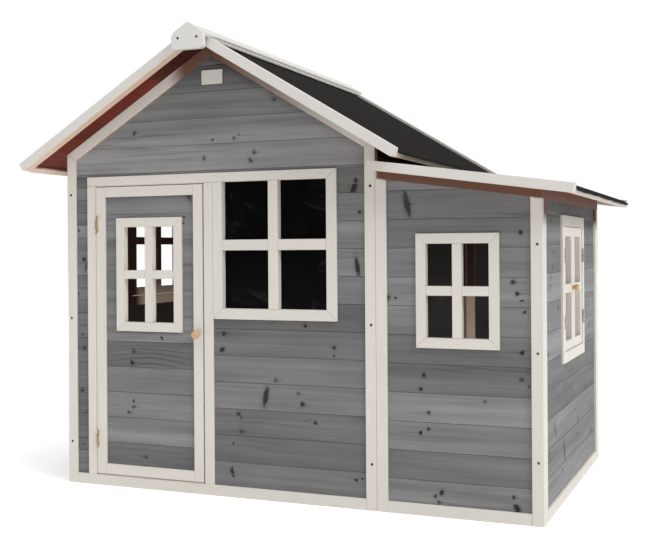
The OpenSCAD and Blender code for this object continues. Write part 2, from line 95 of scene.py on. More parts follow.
class Term:
    """A shader socket that adds Math nodes when it takes part in an expression."""

    __add__ = __radd__ = math_method("ADD")
    __sub__ = math_method("SUBTRACT")
    __rsub__ = math_method("SUBTRACT", flipped=True)
    __mul__ = __rmul__ = math_method("MULTIPLY")
    __truediv__ = math_method("DIVIDE")
    __rtruediv__ = math_method("DIVIDE", flipped=True)
    __pow__ = math_method("POWER")
    __rpow__ = math_method("POWER", flipped=True)
    __abs__ = math_method("ABSOLUTE")
    sine = math_method("SINE")
    root = math_method("SQRT")
    sign = math_method("SIGN")
    at_least = math_method("MAXIMUM")
    at_most = math_method("MINIMUM")

    def __init__(self, shade: "Shade", socket: bpy.types.NodeSocket) -> None:
        """Wraps a socket of one material."""
        self.shade = shade
        self.socket = socket

    def clipped(self) -> "Term":
        """self held between 0 and 1."""
        return self.at_least(0.0).at_most(1.0)

    def step(self, start: float, end: float) -> "Term":
        """Rises smoothly from 0 where self is start to 1 where it is end, which may be lower."""
        share = ((self - start) / (end - start)).clipped()
        return share * share * (3.0 - 2.0 * share)

    def step_at(self, line: float, edges: Pair) -> "Term":
        """The step between two values, each given as its distance from a line."""
        return self.step(line + edges[0], line + edges[1])

    def ridges(self) -> "Term":
        """Thin ridges, 0 to 1, one to each unit of self: a sine wave to the fourth power."""
        return ((TURN * self).sine() * 0.5 + 0.5) ** 4.0


class Node:
    """A shader node whose outputs come out as terms."""

    def __init__(self, shade: "Shade", node: bpy.types.ShaderNode) -> None:
        """Wraps a node of one material."""
        self.shade = shade
        self.node = node

    def out(self, name: str | int = 0) -> Term:
        """The named output."""
        return Term(self.shade, self.node.outputs[name])


class Shade:
    """One material under construction."""

    def __init__(self, name: str) -> None:
        """Starts an empty material.

        Args:
            name: Its name.
        """
        self.material = bpy.data.materials.new(name)
        self.material.use_nodes = True
        self.tree = self.material.node_tree
        self.tree.nodes.clear()

    def node(self, kind: str, settings: dict | None = None, inputs: dict | None = None) -> Node:
        """Adds a node of any kind.

        Args:
            kind: The node's type.
            settings: What is set on the node before its inputs.
            inputs: Values or terms by the input's name or number.

        Returns:
            The new node.
        """
        node = self.tree.nodes.new(kind)
        for key, value in (settings or {}).items():
            setattr(node, key, value)
        for key, value in (inputs or {}).items():
            if isinstance(value, Term):
                self.tree.links.new(value.socket, node.inputs[key])
            else:
                node.inputs[key].default_value = value
        return Node(self, node)

    def parts(self, vector: Term) -> tuple[Term, ...]:
        """The three numbers of a vector."""
        split = self.node("ShaderNodeSeparateXYZ", {}, {0: vector})
        return tuple(split.out(n) for n in range(3))

    def number(self, name: str) -> Term:
        """A number that the piece's mesh carries."""
        return self.node("ShaderNodeAttribute", {"attribute_name": name}).out("Fac")

    def triple(self, name: str) -> tuple[Term, ...]:
        """Three numbers that the piece's mesh carries as a vector."""
        return self.parts(self.node("ShaderNodeAttribute", {"attribute_name": name}).out("Vector"))

    def place(self) -> tuple[Term, ...]:
        """The Object coordinates."""
        return self.parts(self.node("ShaderNodeTexCoord").out("Object"))

    def noise(self, place: Sequence[Term | float], detail: float = 2.0,
              roughness: float = 0.5) -> Term:
        """Smooth noise, 0 to 1, with one lump to each unit of place.

        Args:
            place: Where it is read, as three numbers.
            detail: How many finer layers it has.
            roughness: How strong the finer layers are.

        Returns:
            The noise.
        """
        vector = self.node("ShaderNodeCombineXYZ", {}, dict(enumerate(place))).out()
        inputs = {"Vector": vector, "Scale": 1.0, "Detail": detail, "Roughness": roughness}
        return self.node("ShaderNodeTexNoise", {"noise_dimensions": "3D"}, inputs).out("Fac")

    def mix(self, share: Term | float, first: Term | Colour, second: Term | Colour) -> Term:
        """A colour between two, first at a share of 0 and second at 1."""
        inputs = {0: share, 6: first, 7: second}
        return self.node("ShaderNodeMix", {"data_type": "RGBA"}, inputs).out(2)

    def tint(self, colour: Term, strength: Term) -> Term:
        """A colour scaled by a number."""
        return self.node("ShaderNodeVectorMath", {"operation": "SCALE"}, {0: colour, 3: strength}).out()

    def bump(self, height: Term, depth: float, strength: float) -> Term:
        """A normal roughened by a height between 0 and 1, where 1 stands depth metres out."""
        inputs = {"Height": height, "Distance": depth, "Strength": strength}
        return self.node("ShaderNodeBump", {}, inputs).out()

    def finish(self, inputs: dict) -> bpy.types.Material:
        """Closes the material with a Principled shader.

        Args:
            inputs: The shader's inputs by name.

        Returns:
            The finished material.
        """
        shader = self.node("ShaderNodeBsdfPrincipled", {}, inputs)
        self.node("ShaderNodeOutputMaterial", {}, {"Surface": shader.out()})
        return self.material


# ---------------------------------------------------------------- finishes


@dataclass(frozen=True)
class BoardStain:
    """Thin stain on knotty softwood boards.

    The boards' mesh carries "grain" (along the board, across it, depth from its face), "tone"
    (one number a board), "knot" (along and across from the nearest knot, and its radius),
    "heart" (the same place in the knot's own lengths, 1 on its outline, and how hollow it is),
    "tail" (how far its dark streak runs, with the direction as the sign), "arched" (1 where the
    rings stand out in an arch), and "shelter" (painted shade, 1 close under a
    roof or rail, plus how much more stain the board took).
    """

    name: str
    pale: Colour
    dark: Colour
    inner_shade_pale: Colour
    inner_shade_dark: Colour
    knot: Colour
    contrast: float = 1.0

    def figure(self, shade: Shade, along: Term, across: Term, seed: Term) -> tuple[Term, Term, Term]:
        """The wood's figure: fine grain, streaks, and broad bands with a few crowded rings.

        Args:
            shade: The material.
            along: Place along the board.
            across: Place across it, bent round the knots.
            seed: The board's own number.

        Returns:
            The fine grain, the streaks, and the sum that darkens the stain.
        """
        fine = shade.noise((along * 7.0, across * 430.0, seed), 3.0, 0.6)
        streak = shade.noise((along * 2.4, across * 110.0, seed + 5.0), 4.0, 0.62)
        warp = shade.noise((along * 2.0, across * 9.0, seed + 11.0), 2.0)
        band = shade.noise((along * 0.9, across * 24.0, seed + 23.0), 3.0, 0.5)
        rings = (across * 50.0 + warp * 4.0).ridges()
        crowded = shade.noise((along * 2.2, across * 13.0, seed + 31.0), 1.0)
        arcs = (across * 66.0 + warp * 1.5).ridges()
        total = ((streak - 0.5) * 0.75 + (fine - 0.5) * 0.35 + (band - 0.5) * 1.5
                 + rings * crowded.step(0.54, 0.75) * 0.4
                 + arcs * shade.number("arched") * 0.9)
        return fine, streak, total

    def material(self) -> bpy.types.Material:
        """The stain as a material.

        Returns:
            The finished material.
        """
        shade = Shade(self.name)
        along, across, depth = shade.triple("grain")
        tone = shade.number("tone")
        k_along, k_across, radius = shade.triple("knot")
        h_along, h_across, hollow = shade.triple("heart")
        tail = shade.number("tail")
        shelter = shade.number("shelter")
        seed = tone * 37.0
        size = radius.at_least(0.5 * MM)
        knotty = radius.step(0.4 * MM, 0.6 * MM)
        # The grain parts round a knot: it is read further from the knot's middle line.
        reach = (1.0 - abs(k_along) / (size * 7.0)).clipped()
        near = (1.0 - abs(k_across) / (size * 4.5)).clipped()
        bend = size * 1.5 * reach * reach * near * k_across.sign() * knotty
        fine, streak, total = self.figure(shade, along, across - bend, seed)
        blotch = shade.noise((along * 4.0, across * 16.0, tone * 19.0), 3.0)
        share = ((total + (blotch - 0.5) * 0.7) * self.contrast + 0.42).clipped()
        face = shade.mix(share, self.pale, self.dark)
        # The back faces, inside the house, take darker colours: painted shade of the dark room, over the
        # same grain.
        inside = shade.mix(share, self.inner_shade_pale, self.inner_shade_dark)
        # Knots: a dark rim round a dark or paler heart, crowded grain and a streak beside it.
        apart = (h_along * h_along + h_across * h_across).root()
        rough = shade.noise((h_along * 2.4 + seed * 3.0, h_across * 1.5, seed), 3.0, 0.7)
        ragged = apart + (rough - 0.5) * 1.7 + (streak - 0.5) * 0.4
        core = ragged.step(1.35, 0.75) * knotty
        soft = hollow.clipped()
        heart = rough.step(0.36, 0.56) * soft * 0.75
        ring = ragged.step(2.8, 0.9) * knotty
        run = k_along * tail.sign()
        length = abs(tail).at_least(1 * MM)
        streaming = (1.0 - run / length).clipped() * run.step(-3 * MM, 1 * MM)
        slim = (1.0 - abs(k_across + (blotch - 0.5) * size) / (size * 0.75)).clipped()
        flare = streaming * slim * knotty * (0.3 + streak * 1.2)
        joint = depth.step(0.1 * MM, 2.2 * MM)
        shadow = 1.0 - ring * 0.16 - flare.clipped() * 0.5 - joint * 0.35
        # Painted shade close under a roof or rail, with the board's extra stain, darkens the stain.
        strength = shadow * (1.0 + tone * 0.1) * (1.0 - shelter * 0.62)
        stained = shade.tint(face, strength.at_least(0.04))
        outer = shade.mix(core * (0.96 - heart - soft * 0.08), stained, self.knot)
        colour = shade.mix(depth.step(5.4 * MM, 5.8 * MM), outer, inside)
        relief = fine * 0.6 + streak * 0.4 + core * 0.5
        return shade.finish({
            "Base Color": colour,
            "Roughness": (0.76 + (streak - 0.5) * 0.3 - core * 0.2).clipped(),
            "Normal": shade.bump(relief, 0.6 * MM, 0.3),
            "Specular IOR Level": 0.25,
        })


@dataclass(frozen=True)
class TrimShade:
    """Where the walls' trim stands in shade: each method gives up to 1 in it and 0 outside it.

    The lines that shades start from come from boxes of the frame, across (x), along (y) and up
    (z). A pair is how far from its line a shade is none, and how far it is full.
    """

    x: Term
    y: Term
    z: Term
    skin: float = 0.4 * MM
    eave_drop: float = 120 * MM
    eave_edge: Pair = (0.0, 16 * MM)
    wall_face: Pair = (0.0, 4 * MM)
    rail_edge: Pair = (-4 * MM, 3 * MM)
    rail_waver: float = 12 * MM
    annex_side: Pair = (0.0, 8 * MM)
    left_room: Pair = (30 * MM, 10 * MM)
    left_rise: Pair = (15 * MM, 115 * MM)
    left_jamb: Pair = (110 * MM, 50 * MM)
    room_rise: Pair = (15 * MM, 55 * MM)
    post_left: Pair = (-33 * MM, -23 * MM)
    post_right: Pair = (2 * MM, -2 * MM)
    post_strength: float = 0.7

    def indoors(self) -> Term:
        """Faces that look into the house, on or within the casements' and walls' insides.

        Returns:
            The shade.
        """
        west, east = box_of("left_casements")[1][0], box_of("right_casements")[0][0]
        front, back = box_of("front_frame")[1][1], box_of("back_frame")[0][1]
        starts, ends = (-self.skin, 0.0), (self.skin, 0.0)
        across = self.x.step_at(west, starts) * self.x.step_at(east, ends)
        return across * self.y.step_at(front, starts) * self.y.step_at(back, ends)

    def right_eave(self) -> Term:
        """The right wall's outside, from its top down to a little under its top rail.

        Returns:
            The shade.
        """
        low, high = box_of("right_wall_frame")
        return (self.z.step_at(high[2] - self.eave_drop, self.eave_edge)
                * self.x.step_at(low[0], self.wall_face))

    def gloom(self) -> Term:
        """The inner faces, save in their lower parts, and all the way down beside the posts.

        Returns:
            The shade.
        """
        doorway = box_of("door_posts")[0][0]
        beam_left, beam_right = (corner[0] for corner in box_of("header_beam"))
        _, near, sill = box_of("left_window_casing")[0]
        left_room = self.x.step_at(doorway, self.left_room)
        left = self.z.step_at(sill, self.left_rise)
        left = left.at_least(self.y.step_at(near, self.left_jamb))
        behind_post = self.x.step_at(beam_right, self.post_right)
        behind_post = behind_post * self.x.step_at(beam_left, self.post_left) * self.post_strength
        rest = self.z.step_at(sill, self.room_rise).at_least(behind_post)
        return rest * (1.0 - left_room) + left * left_room

    def annex_eaves(self, blur: Term) -> Term:
        """The annex's framing above its sloping rails' underside.

        Args:
            blur: Moves that line a little, up or down from 0.5.

        Returns:
            The shade.
        """
        low, high = box_of("annex_front_frame")
        fall = (self.x - low[0]) * math.tan(ANNEX_PITCH)
        line = high[2] - FRAMING / math.cos(ANNEX_PITCH)
        above = (self.z + fall + (blur - 0.5) * self.rail_waver).step_at(line, self.rail_edge)
        return above * self.x.step_at(low[0], self.annex_side)


@dataclass(frozen=True)
class TrimPaint:
    """Off-white paint on sawn softwood, with painted shade in warm browns under the eaves and indoors.

    The bars' mesh carries "grain" (along the bar and from its middle line), "half" (half its
    width, thickness and length), "tone" (one number a bar) and "shelter" (the
    painted shade, from 0 in the open to 1 close under a roof).
    """

    name: str
    paint: Colour
    shaded: Colour
    wood: Colour = swatch(222, 190, 164)
    # Painted shade: the warm browns that shaded paint shows under the eaves.
    painted_shade_brown: Colour = swatch(124, 88, 72)
    painted_shade_brown_dark: Colour = swatch(90, 60, 48)
    painted_indoor_shade: Colour | None = None

    def material(self) -> bpy.types.Material:
        """The paint as a material.

        Returns:
            The finished material.
        """
        shade = Shade(self.name)
        along, a, b = shade.triple("grain")
        half_a, half_b, _ = shade.triple("half")
        tone = shade.number("tone")
        shelter = shade.number("shelter")
        seed = tone * 29.0
        fine = shade.noise((along * 6.0 + seed, a * 420.0, b * 420.0), 3.0, 0.6)
        streak = shade.noise((along * 2.5 + seed, a * 110.0, b * 110.0), 4.0, 0.6)
        cloud = shade.noise((along * 9.0 + seed, a * 45.0, b * 45.0), 3.0)
        arris = (half_a - abs(a)).at_least(half_b - abs(b))
        worn = (arris + (fine - 0.5) * MM).step(1.2 * MM, 0.2 * MM)
        veins = streak.step(0.58, 0.74) * 0.28 + (fine - 0.5) * 0.22
        body = shade.mix((veins + (cloud - 0.5) * 0.5 + 0.22).clipped(), self.paint, self.shaded)
        body = shade.mix((tone * 0.5 + 0.5) * 0.07, shade.tint(body, 1.0 + tone * 0.015), self.wood)
        facing, _, lean = shade.parts(shade.node("ShaderNodeNewGeometry").out("Normal"))
        under = lean.step(-0.25, -0.75) * 0.85
        body = shade.mix((worn * 0.12).at_least(under).clipped(), body, self.wood)
        # Painted shade in warm browns, where the bars stand close under a roof.
        painted_shade_colour = shade.mix((streak * 0.8 + fine * 0.4 - 0.1).clipped(), self.painted_shade_brown, self.painted_shade_brown_dark)
        painted_shade_share = (shelter + (cloud - 0.5) * 0.12).step(0.55, 1.0)
        if self.painted_indoor_shade:
            shades = TrimShade(*shade.place())
            shadow = facing.step(0.5, 0.8) * shades.right_eave()
            body = shade.tint(body, 1.0 - shadow * 0.3)
            inside = shades.indoors()
            # Painted shade under the annex's eaves; indoors, a dark painted shade over the inner faces
            # that leaves their lower parts lit.
            painted_shade_share = painted_shade_share.at_least(shades.annex_eaves(cloud)).at_least(inside * shades.gloom())
            painted_shade_colour = shade.mix(inside, painted_shade_colour, self.painted_indoor_shade)
            body = shade.mix(inside * 0.75, body, self.wood)
        return shade.finish({
            "Base Color": shade.mix(painted_shade_share, body, painted_shade_colour),
            "Roughness": (0.55 + (cloud - 0.5) * 0.25 + painted_shade_share * 0.2).clipped(),
            "Normal": shade.bump(fine * 0.7 + streak * 0.3, 0.4 * MM, 0.22),
            "Specular IOR Level": 0.3,
        })


@dataclass(frozen=True)
class RoofFelt:
    """Bitumen felt with a fine mineral facing, on a sheet with a "run" attribute in metres."""

    name: str
    grit: Colour
    tar: Colour

    def material(self) -> bpy.types.Material:
        """The felt as a material.

        Returns:
            The finished material.
        """
        shade = Shade(self.name)
        down, along, _ = shade.triple("run")
        x, y, z = shade.place()
        grain = shade.noise((x * 900.0, y * 900.0, z * 900.0), 2.0, 0.7)
        patch = shade.noise((down * 7.0, along * 3.0, 0.0), 4.0, 0.6)
        fade = shade.noise((down * 30.0, along * 2.0, 4.0), 3.0)
        share = ((grain - 0.5) * 1.6 + (patch - 0.5) * 0.8 + (fade - 0.5) * 0.5 + 0.5).clipped()
        return shade.finish({
            "Base Color": shade.mix(share, self.tar, self.grit),
            "Roughness": (0.86 + (grain - 0.5) * 0.2).clipped(),
            "Normal": shade.bump(grain * 0.8 + fade * 0.2, 0.8 * MM, 0.5),
            "Specular IOR Level": 0.12,
        })


@dataclass(frozen=True)
class Pane:
    """A thin clear sheet over a dark room, with pale smears and hair-thin curved lines.

    Left of the main wall's right edge it is nearly opaque black, a painted shade of the room behind
    it, and right of it clearer.
    """

    name: str
    body: Colour
    mark_colour: Colour
    main_opacity: float
    annex_opacity: float

    def material(self) -> bpy.types.Material:
        """The sheet as a material.

        Returns:
            The finished material.
        """
        shade = Shade(self.name)
        x, y, z = shade.place()
        curve = shade.noise((x * 4.0, y, z * 4.0), 1.0)
        hair = abs(curve - 0.5).step(0.007, 0.002)
        patch = shade.noise((x * 7.0 + 3.0, y, z * 12.0), 3.0).step(0.5, 0.72)
        smear = shade.noise((x * 6.0, y, z * 26.0 + x * 9.0), 3.0).step(0.58, 0.8)
        pale_marks = hair * patch * 0.15 + smear * 0.045 + patch * 0.01
        # Painted shade: the sheet is nearly opaque black over the main room, and clearer over the annex.
        beyond_wall = x.step_at(box_of("front_frame")[1][0], (-10 * MM, 10 * MM))
        opacity = self.main_opacity + beyond_wall * (self.annex_opacity - self.main_opacity)
        return shade.finish({
            "Base Color": shade.mix(pale_marks.clipped(), self.body, self.mark_colour),
            "Alpha": (opacity + pale_marks).clipped(),
            "Roughness": (0.12 + pale_marks).clipped(),
            "Specular IOR Level": 0.03,
        })


@dataclass(frozen=True)
class TurnedWood:
    """Clear-lacquered beech with its short flecks."""

    name: str
    pale: Colour
    dark: Colour

    def material(self) -> bpy.types.Material:
        """The lacquered wood as a material.

        Returns:
            The finished material.
        """
        shade = Shade(self.name)
        x, y, z = shade.place()
        rings = shade.noise((x * 60.0, y * 60.0, z * 600.0), 3.0)
        fleck = shade.noise((x * 900.0, y * 900.0, z * 220.0), 1.0).step(0.6, 0.7)
        share = (rings * 0.9 + fleck * 0.3 - 0.1).clipped()
        return shade.finish({
            "Base Color": shade.mix(share, self.pale, self.dark),
            "Roughness": (0.36 + fleck * 0.15).clipped(),
            "Coat Weight": 0.3,
            "Coat Roughness": 0.25,
        })


@dataclass(frozen=True)
class PlatedMetal:
    """Plated steel with fine brushing and dull patches.

    Where it has a paint, all but the door hinges' barrels is painted over, as the door is.
    """

    name: str
    bright: Colour
    dull: Colour
    gloss: float
    paint: Colour | None = None
    barrel: float = 2.8 * MM

    def material(self) -> bpy.types.Material:
        """The plating as a material.

        Returns:
            The finished material.
        """
        shade = Shade(self.name)
        x, y, z = shade.place()
        brushed = shade.noise((x * 500.0, y * 500.0, z * 3500.0), 2.0)
        patch = shade.noise((x * 170.0, y * 170.0, z * 170.0), 3.0).step(0.42, 0.68)
        plating = shade.mix(patch, self.bright, self.dull)
        roughness = (self.gloss + brushed * 0.12 + patch * 0.2).clipped()
        metallic: Term | float = 1.0
        if self.paint:
            middle = box_of("hinge_pins")[1][0] - self.barrel
            painted = abs(x - middle).step_at(self.barrel, (0.0, 0.3 * MM))
            plating = shade.mix(painted, plating, self.paint)
            metallic, roughness = 1.0 - painted, roughness.at_least(painted * 0.55)
        return shade.finish({
            "Base Color": plating,
            "Metallic": metallic,
            "Roughness": roughness,
            "Normal": shade.bump(brushed, 0.1 * MM, 0.3),
        })


@dataclass(frozen=True)
class StudioFloor:
    """Seamless pale paper, lit a little from below."""

    name: str
    paper: Colour
    glow: float = 0.2

    def material(self) -> bpy.types.Material:
        """The paper as a material.

        Returns:
            The finished material.
        """
        shade = Shade(self.name)
        return shade.finish({
            "Base Color": self.paper, "Roughness": 0.95, "Specular IOR Level": 0.0,
            "Emission Color": (1.0, 1.0, 1.0, 1.0), "Emission Strength": self.glow,
        })


class Finish(Enum):
    """The finishes of the house."""

    GREY_BOARDS = BoardStain(
        "grey_stained_boards",
        pale=swatch(134, 134, 134),
        dark=swatch(98, 98, 99),
        inner_shade_pale=swatch(68, 67, 64),
        inner_shade_dark=swatch(44, 43, 42),
        knot=swatch(34, 32, 31),
    )
    RED_BOARDS = BoardStain(
        "red_brown_roof_boards",
        pale=swatch(112, 40, 23),
        dark=swatch(80, 27, 15),
        inner_shade_pale=swatch(70, 46, 36),
        inner_shade_dark=swatch(44, 28, 22),
        knot=swatch(46, 18, 13),
        contrast=0.7,
    )
    WALL_TRIM = TrimPaint("off_white_wall_trim", swatch(219, 215, 208), swatch(203, 198, 189),
                          painted_indoor_shade=swatch(58, 35, 26))
    ROOF_TRIM = TrimPaint("off_white_roof_trim", swatch(214, 212, 208), swatch(200, 196, 190))
    RIDGE_TRIM = TrimPaint("off_white_ridge_trim", swatch(220, 218, 214), swatch(200, 198, 194),
                           wood=swatch(188, 184, 178))
    FELT = RoofFelt("black_roof_felt", grit=swatch(33, 30, 28), tar=swatch(14, 13, 12))
    PANE = Pane("clear_pane", swatch(8, 8, 8), swatch(150, 150, 148), 0.965, 0.25)
    BEECH = TurnedWood("lacquered_beech", swatch(206, 172, 134), swatch(176, 138, 100))
    BRASS = PlatedMetal("brass_plating", swatch(190, 160, 106), swatch(150, 122, 74), 0.35,
                        paint=swatch(214, 208, 200))
    SCREW_BRASS = PlatedMetal("brass_screws", swatch(138, 122, 48), swatch(84, 70, 26), 0.4)
    DARK_STEEL = PlatedMetal("dark_screws", swatch(62, 46, 42), swatch(36, 28, 26), 0.45)
    PALE_STEEL = PlatedMetal("zinc_plating", swatch(202, 192, 178), swatch(160, 146, 130), 0.4)
    FLOOR = StudioFloor("studio_paper", swatch(250, 250, 250))


@cache
def painted(finish: Finish) -> bpy.types.Material:
    """The finish's material, made once."""
    return finish.value.material()


# ---------------------------------------------------------------- making meshes


@dataclass
class MeshParts:
    """Points, faces and attributes of shapes that go into one mesh."""

    points: list[Array] = field(default_factory=list)
    faces: list[list[int]] = field(default_factory=list)
    point_values: dict[str, list[Array]] = field(default_factory=dict)
    corner_values: dict[str, list[Array]] = field(default_factory=dict)
    count: int = 0

    def add(self, points: Array, faces: list[list[int]], **values: Array) -> None:
        """Adds one shape.

        Args:
            points: Its points, one a row.
            faces: Its faces, as numbers of its own points.
            values: Attributes for each point, by name.
        """
        self.faces += [[corner + self.count for corner in face] for face in faces]
        self.points.append(points)
        self.count += len(points)
        for name, value in values.items():
            self.point_values.setdefault(name, []).append(value)

    def add_corners(self, **values: Array) -> None:
        """Adds attributes for each corner of the faces last added, by name."""
        for name, value in values.items():
            self.corner_values.setdefault(name, []).append(value)

    def build(self, name: str, finish: Finish, smooth: bool = False) -> bpy.types.Object:
        """Makes the object.

        Args:
            name: The piece's name.
            finish: Its finish.
            smooth: Whether its faces are shaded smooth.

        Returns:
            The object, at the origin.
        """
        mesh = bpy.data.meshes.new(name)
        mesh.from_pydata(np.concatenate(self.points).tolist(), [], self.faces)
        for domain, table in (("POINT", self.point_values), ("CORNER", self.corner_values)):
            write_attributes(mesh, domain, {key: np.concatenate(table[key]) for key in table})
        mesh.polygons.foreach_set("use_smooth", np.full(len(mesh.polygons), smooth))
        mesh.update()
        mesh.materials.append(painted(finish))
        piece = bpy.data.objects.new(name, mesh)
        bpy.context.scene.collection.objects.link(piece)
        return piece


def write_attributes(mesh: bpy.types.Mesh, domain: str, table: dict[str, Array]) -> None:
    """Stores numbers or vectors on a mesh.

    Args:
        mesh: The mesh.
        domain: POINT or CORNER.
        table: One number, or one row of three, for each element, by the attribute's name.
    """
    for name, values in table.items():
        if values.ndim == 1:
            mesh.attributes.new(name, "FLOAT", domain).data.foreach_set("value", values)
        else:
            layer = mesh.attributes.new(name, "FLOAT_VECTOR", domain)
            layer.data.foreach_set("vector", values.astype(np.float32).ravel())


def tube_faces(around: int, stations: int, inward: bool) -> list[list[int]]:
    """Faces of a closed profile carried along stations, with both ends closed.

    Point number is station times around plus the place in the profile.

    Args:
        around: Points of the profile.
        stations: How many times it is repeated.
        inward: Whether the profile turns the other way, so that faces are reversed.

    Returns:
        The side faces, station by station, then the two ends.
    """
    ring = np.arange(around)
    start = (np.arange(stations - 1) * around)[:, None]
    after = (ring + 1) % around
    quads = np.stack([start + ring, start + after, start + after + around, start + ring + around], -1)
    faces = quads.reshape(-1, 4).tolist()
    last = (stations - 1) * around
    faces += [ring[::-1].tolist(), (ring + last).tolist()]
    return [face[::-1] for face in faces] if inward else faces


# ---------------------------------------------------------------- boards


@dataclass(frozen=True)
class KnotHabit:
    """How knots lie along boards: in whorls, where a ring of branches left the trunk.

    A board is cut into equal lengths of about one spacing. Each has one whorl, somewhere in it,
    of none to most knots that lie a few reaches apart along the board and anywhere across it.
    Most knots are small and round, some are spikes, several times longer than wide. Hollow says
    how pale a knot's heart is, and a streak of length tail runs off it along the board. Spikes
    and long_tails are shares of all knots, room_along and room_across the shares of a length and
    of a board's cover where whorls and knots may lie.
    """

    spacing: float = 270 * MM
    reach: float = 14 * MM
    most: int = 3
    radius: Pair = (2.6 * MM, 6.4 * MM)
    spikes: float = 0.1
    spike_stretch: Pair = (2.4, 4.2)
    spike_girth: float = 1.5
    round_stretch: float = 0.2
    lean: float = 0.5
    spike_lean: float = 0.6
    tail: Pair = (6 * MM, 40 * MM)
    long_tails: float = 0.1
    long_tail: Pair = (60 * MM, 110 * MM)
    hollow: Pair = (-0.8, 1.0)
    room_along: Pair = (0.05, 0.95)
    room_across: Pair = (0.12, 0.88)

    def scatter(self, rng: np.random.Generator, ends: Pair, boards: Array,
                joint: float, cover: float) -> Array:
        """Draws the knots of a boarded area.

        Args:
            rng: The area's own random numbers.
            ends: Where its boards start and end, along them.
            boards: Their numbers.
            joint: The height of the joint below board 0.
            cover: A board's height.

        Returns:
            Rows of (along, up, radius, stretch, lean, tail, hollow), in metres and radians.
        """
        whorls = max(1, round((ends[1] - ends[0]) / self.spacing))
        pitch = (ends[1] - ends[0]) / whorls
        shape = (len(boards), whorls, self.most)
        middle = ends[0] + pitch * (np.arange(whorls) + rng.uniform(*self.room_along, shape[:2]))
        along = middle[..., None] + rng.normal(0.0, self.reach, shape)
        up = joint + cover * (boards[:, None, None] + rng.uniform(*self.room_across, shape))
        spike = rng.random(shape) < self.spikes
        radius = rng.uniform(*self.radius, shape) * np.where(spike, self.spike_girth, 1.0)
        stretch = np.where(spike, rng.uniform(*self.spike_stretch, shape),
                           1.0 + rng.exponential(self.round_stretch, shape))
        lean = rng.normal(0.0, self.lean, shape) * np.where(spike, self.spike_lean, 1.0)
        tail = rng.uniform(*self.tail, shape)
        tail = tail + rng.uniform(*self.long_tail, shape) * (rng.random(shape) < self.long_tails)
        tail = tail * rng.choice([-1, 1], shape)
        hollow = rng.uniform(*self.hollow, shape)
        kept = np.arange(self.most) < rng.integers(0, self.most + 1, shape[:2])[..., None]
        return np.stack([along, up, radius, stretch, lean, tail, hollow], -1)[kept]


@dataclass(frozen=True)
class Arch:
    """A place on a wall where the grain rises in an arch with dark rings."""

    along: float
    up: float
    width: float = 130 * MM
    height: float = 42 * MM
    rise: float = 22 * MM

    def share(self, along: Array, up: Array) -> Array:
        """How far each place is in the arch, 1 at its middle, falling off as a bell both ways."""
        across = (along - self.along) / self.width
        return np.exp(-across**2 - ((up - self.up) / self.height) ** 2)


@dataclass(frozen=True)
class Outline:
    """The area that boards cover, on its own plane, with holes.

    left and right are the ends of the boards as (height, place along) points from the bottom up,
    with straight lines between them. A hole is (along from, along to, up from, up to).
    """

    left: tuple[Pair, ...]
    right: tuple[Pair, ...]
    holes: tuple[tuple[float, float, float, float], ...] = ()

    def levels(self) -> list[float]:
        """Heights at which the shape changes."""
        heights = [up for up, _ in self.left + self.right]
        return sorted(set(heights + [up for hole in self.holes for up in hole[2:]]))

    def spans(self, up: float) -> list[Pair]:
        """The stretches that boards cover at one height.

        Args:
            up: The height.

        Returns:
            Pairs of (from, to) along the boards.
        """
        ends = [np.interp(up, *np.array(side).T) for side in (self.left, self.right)]
        spans, start = [], float(ends[0])
        for along0, along1, low, high in sorted(self.holes):
            if low < up < high:
                spans.append((start, along0))
                start = along1
        spans.append((start, float(ends[1])))
        return [(first, last) for first, last in spans if last - first > SLIVER]

    def overhung(self, along: Array, up: float) -> Array:
        """Tells where a rail stands out over the boards: at the top, or under a hole.

        Args:
            along: Places along the boards.
            up: Their height.

        Returns:
            1 where one does, and else 0.
        """
        if abs(up - self.levels()[-1]) < 0.01 * MM:
            return np.ones_like(along)
        total = np.zeros_like(along)
        for along0, along1, low, _ in self.holes:
            if abs(up - low) < 0.01 * MM:
                total[(along > along0) & (along < along1)] = 1.0
        return total


@dataclass(frozen=True)
class BoardSection:
    """The section of a tongue-and-groove board."""

    cover: float = 85 * MM
    thickness: float = 10 * MM
    gap: float = 0.9 * MM
    groove: float = 5 * MM
    chamfer: float = 0.6 * MM
    row: float = 22 * MM
    brow: float = 8 * MM

    def profile(self, low: float, high: float, joint_low: bool, joint_high: bool) -> Array:
        """The closed profile of a strip of board, from its back bottom edge round by its face.

        An edge with a joint is set back by half the gap down to the groove, and its arris is
        chamfered. An edge without one is square. The face is cut into equal rows, and once more
        a brow's width below an upper edge that is square.

        Args:
            low: The strip's lower edge.
            high: Its upper edge.
            joint_low: Whether its lower edge is a joint between two boards.
            joint_high: Whether its upper edge is.

        Returns:
            Rows of (height, depth behind the face).
        """
        back, half = self.thickness, self.gap / 2
        joint = [(0, back), (0, self.groove), (half, self.groove), (half, self.chamfer),
                 (half + self.chamfer, 0)]
        square = [(0, back), (0, 0)]
        lower = [(low + up, depth) for up, depth in (joint if joint_low else square)]
        upper = [(high - up, depth) for up, depth in (joint if joint_high else square)]
        first, last = lower[-1][0], upper[-1][0]
        count = max(1, round((last - first) / self.row))
        face = [(first + (last - first) * n / count, 0.0) for n in range(1, count)]
        if not joint_high and high - low > 2 * self.brow:
            face.append((high - self.brow, 0.0))
        return np.array(lower + face + upper[::-1])


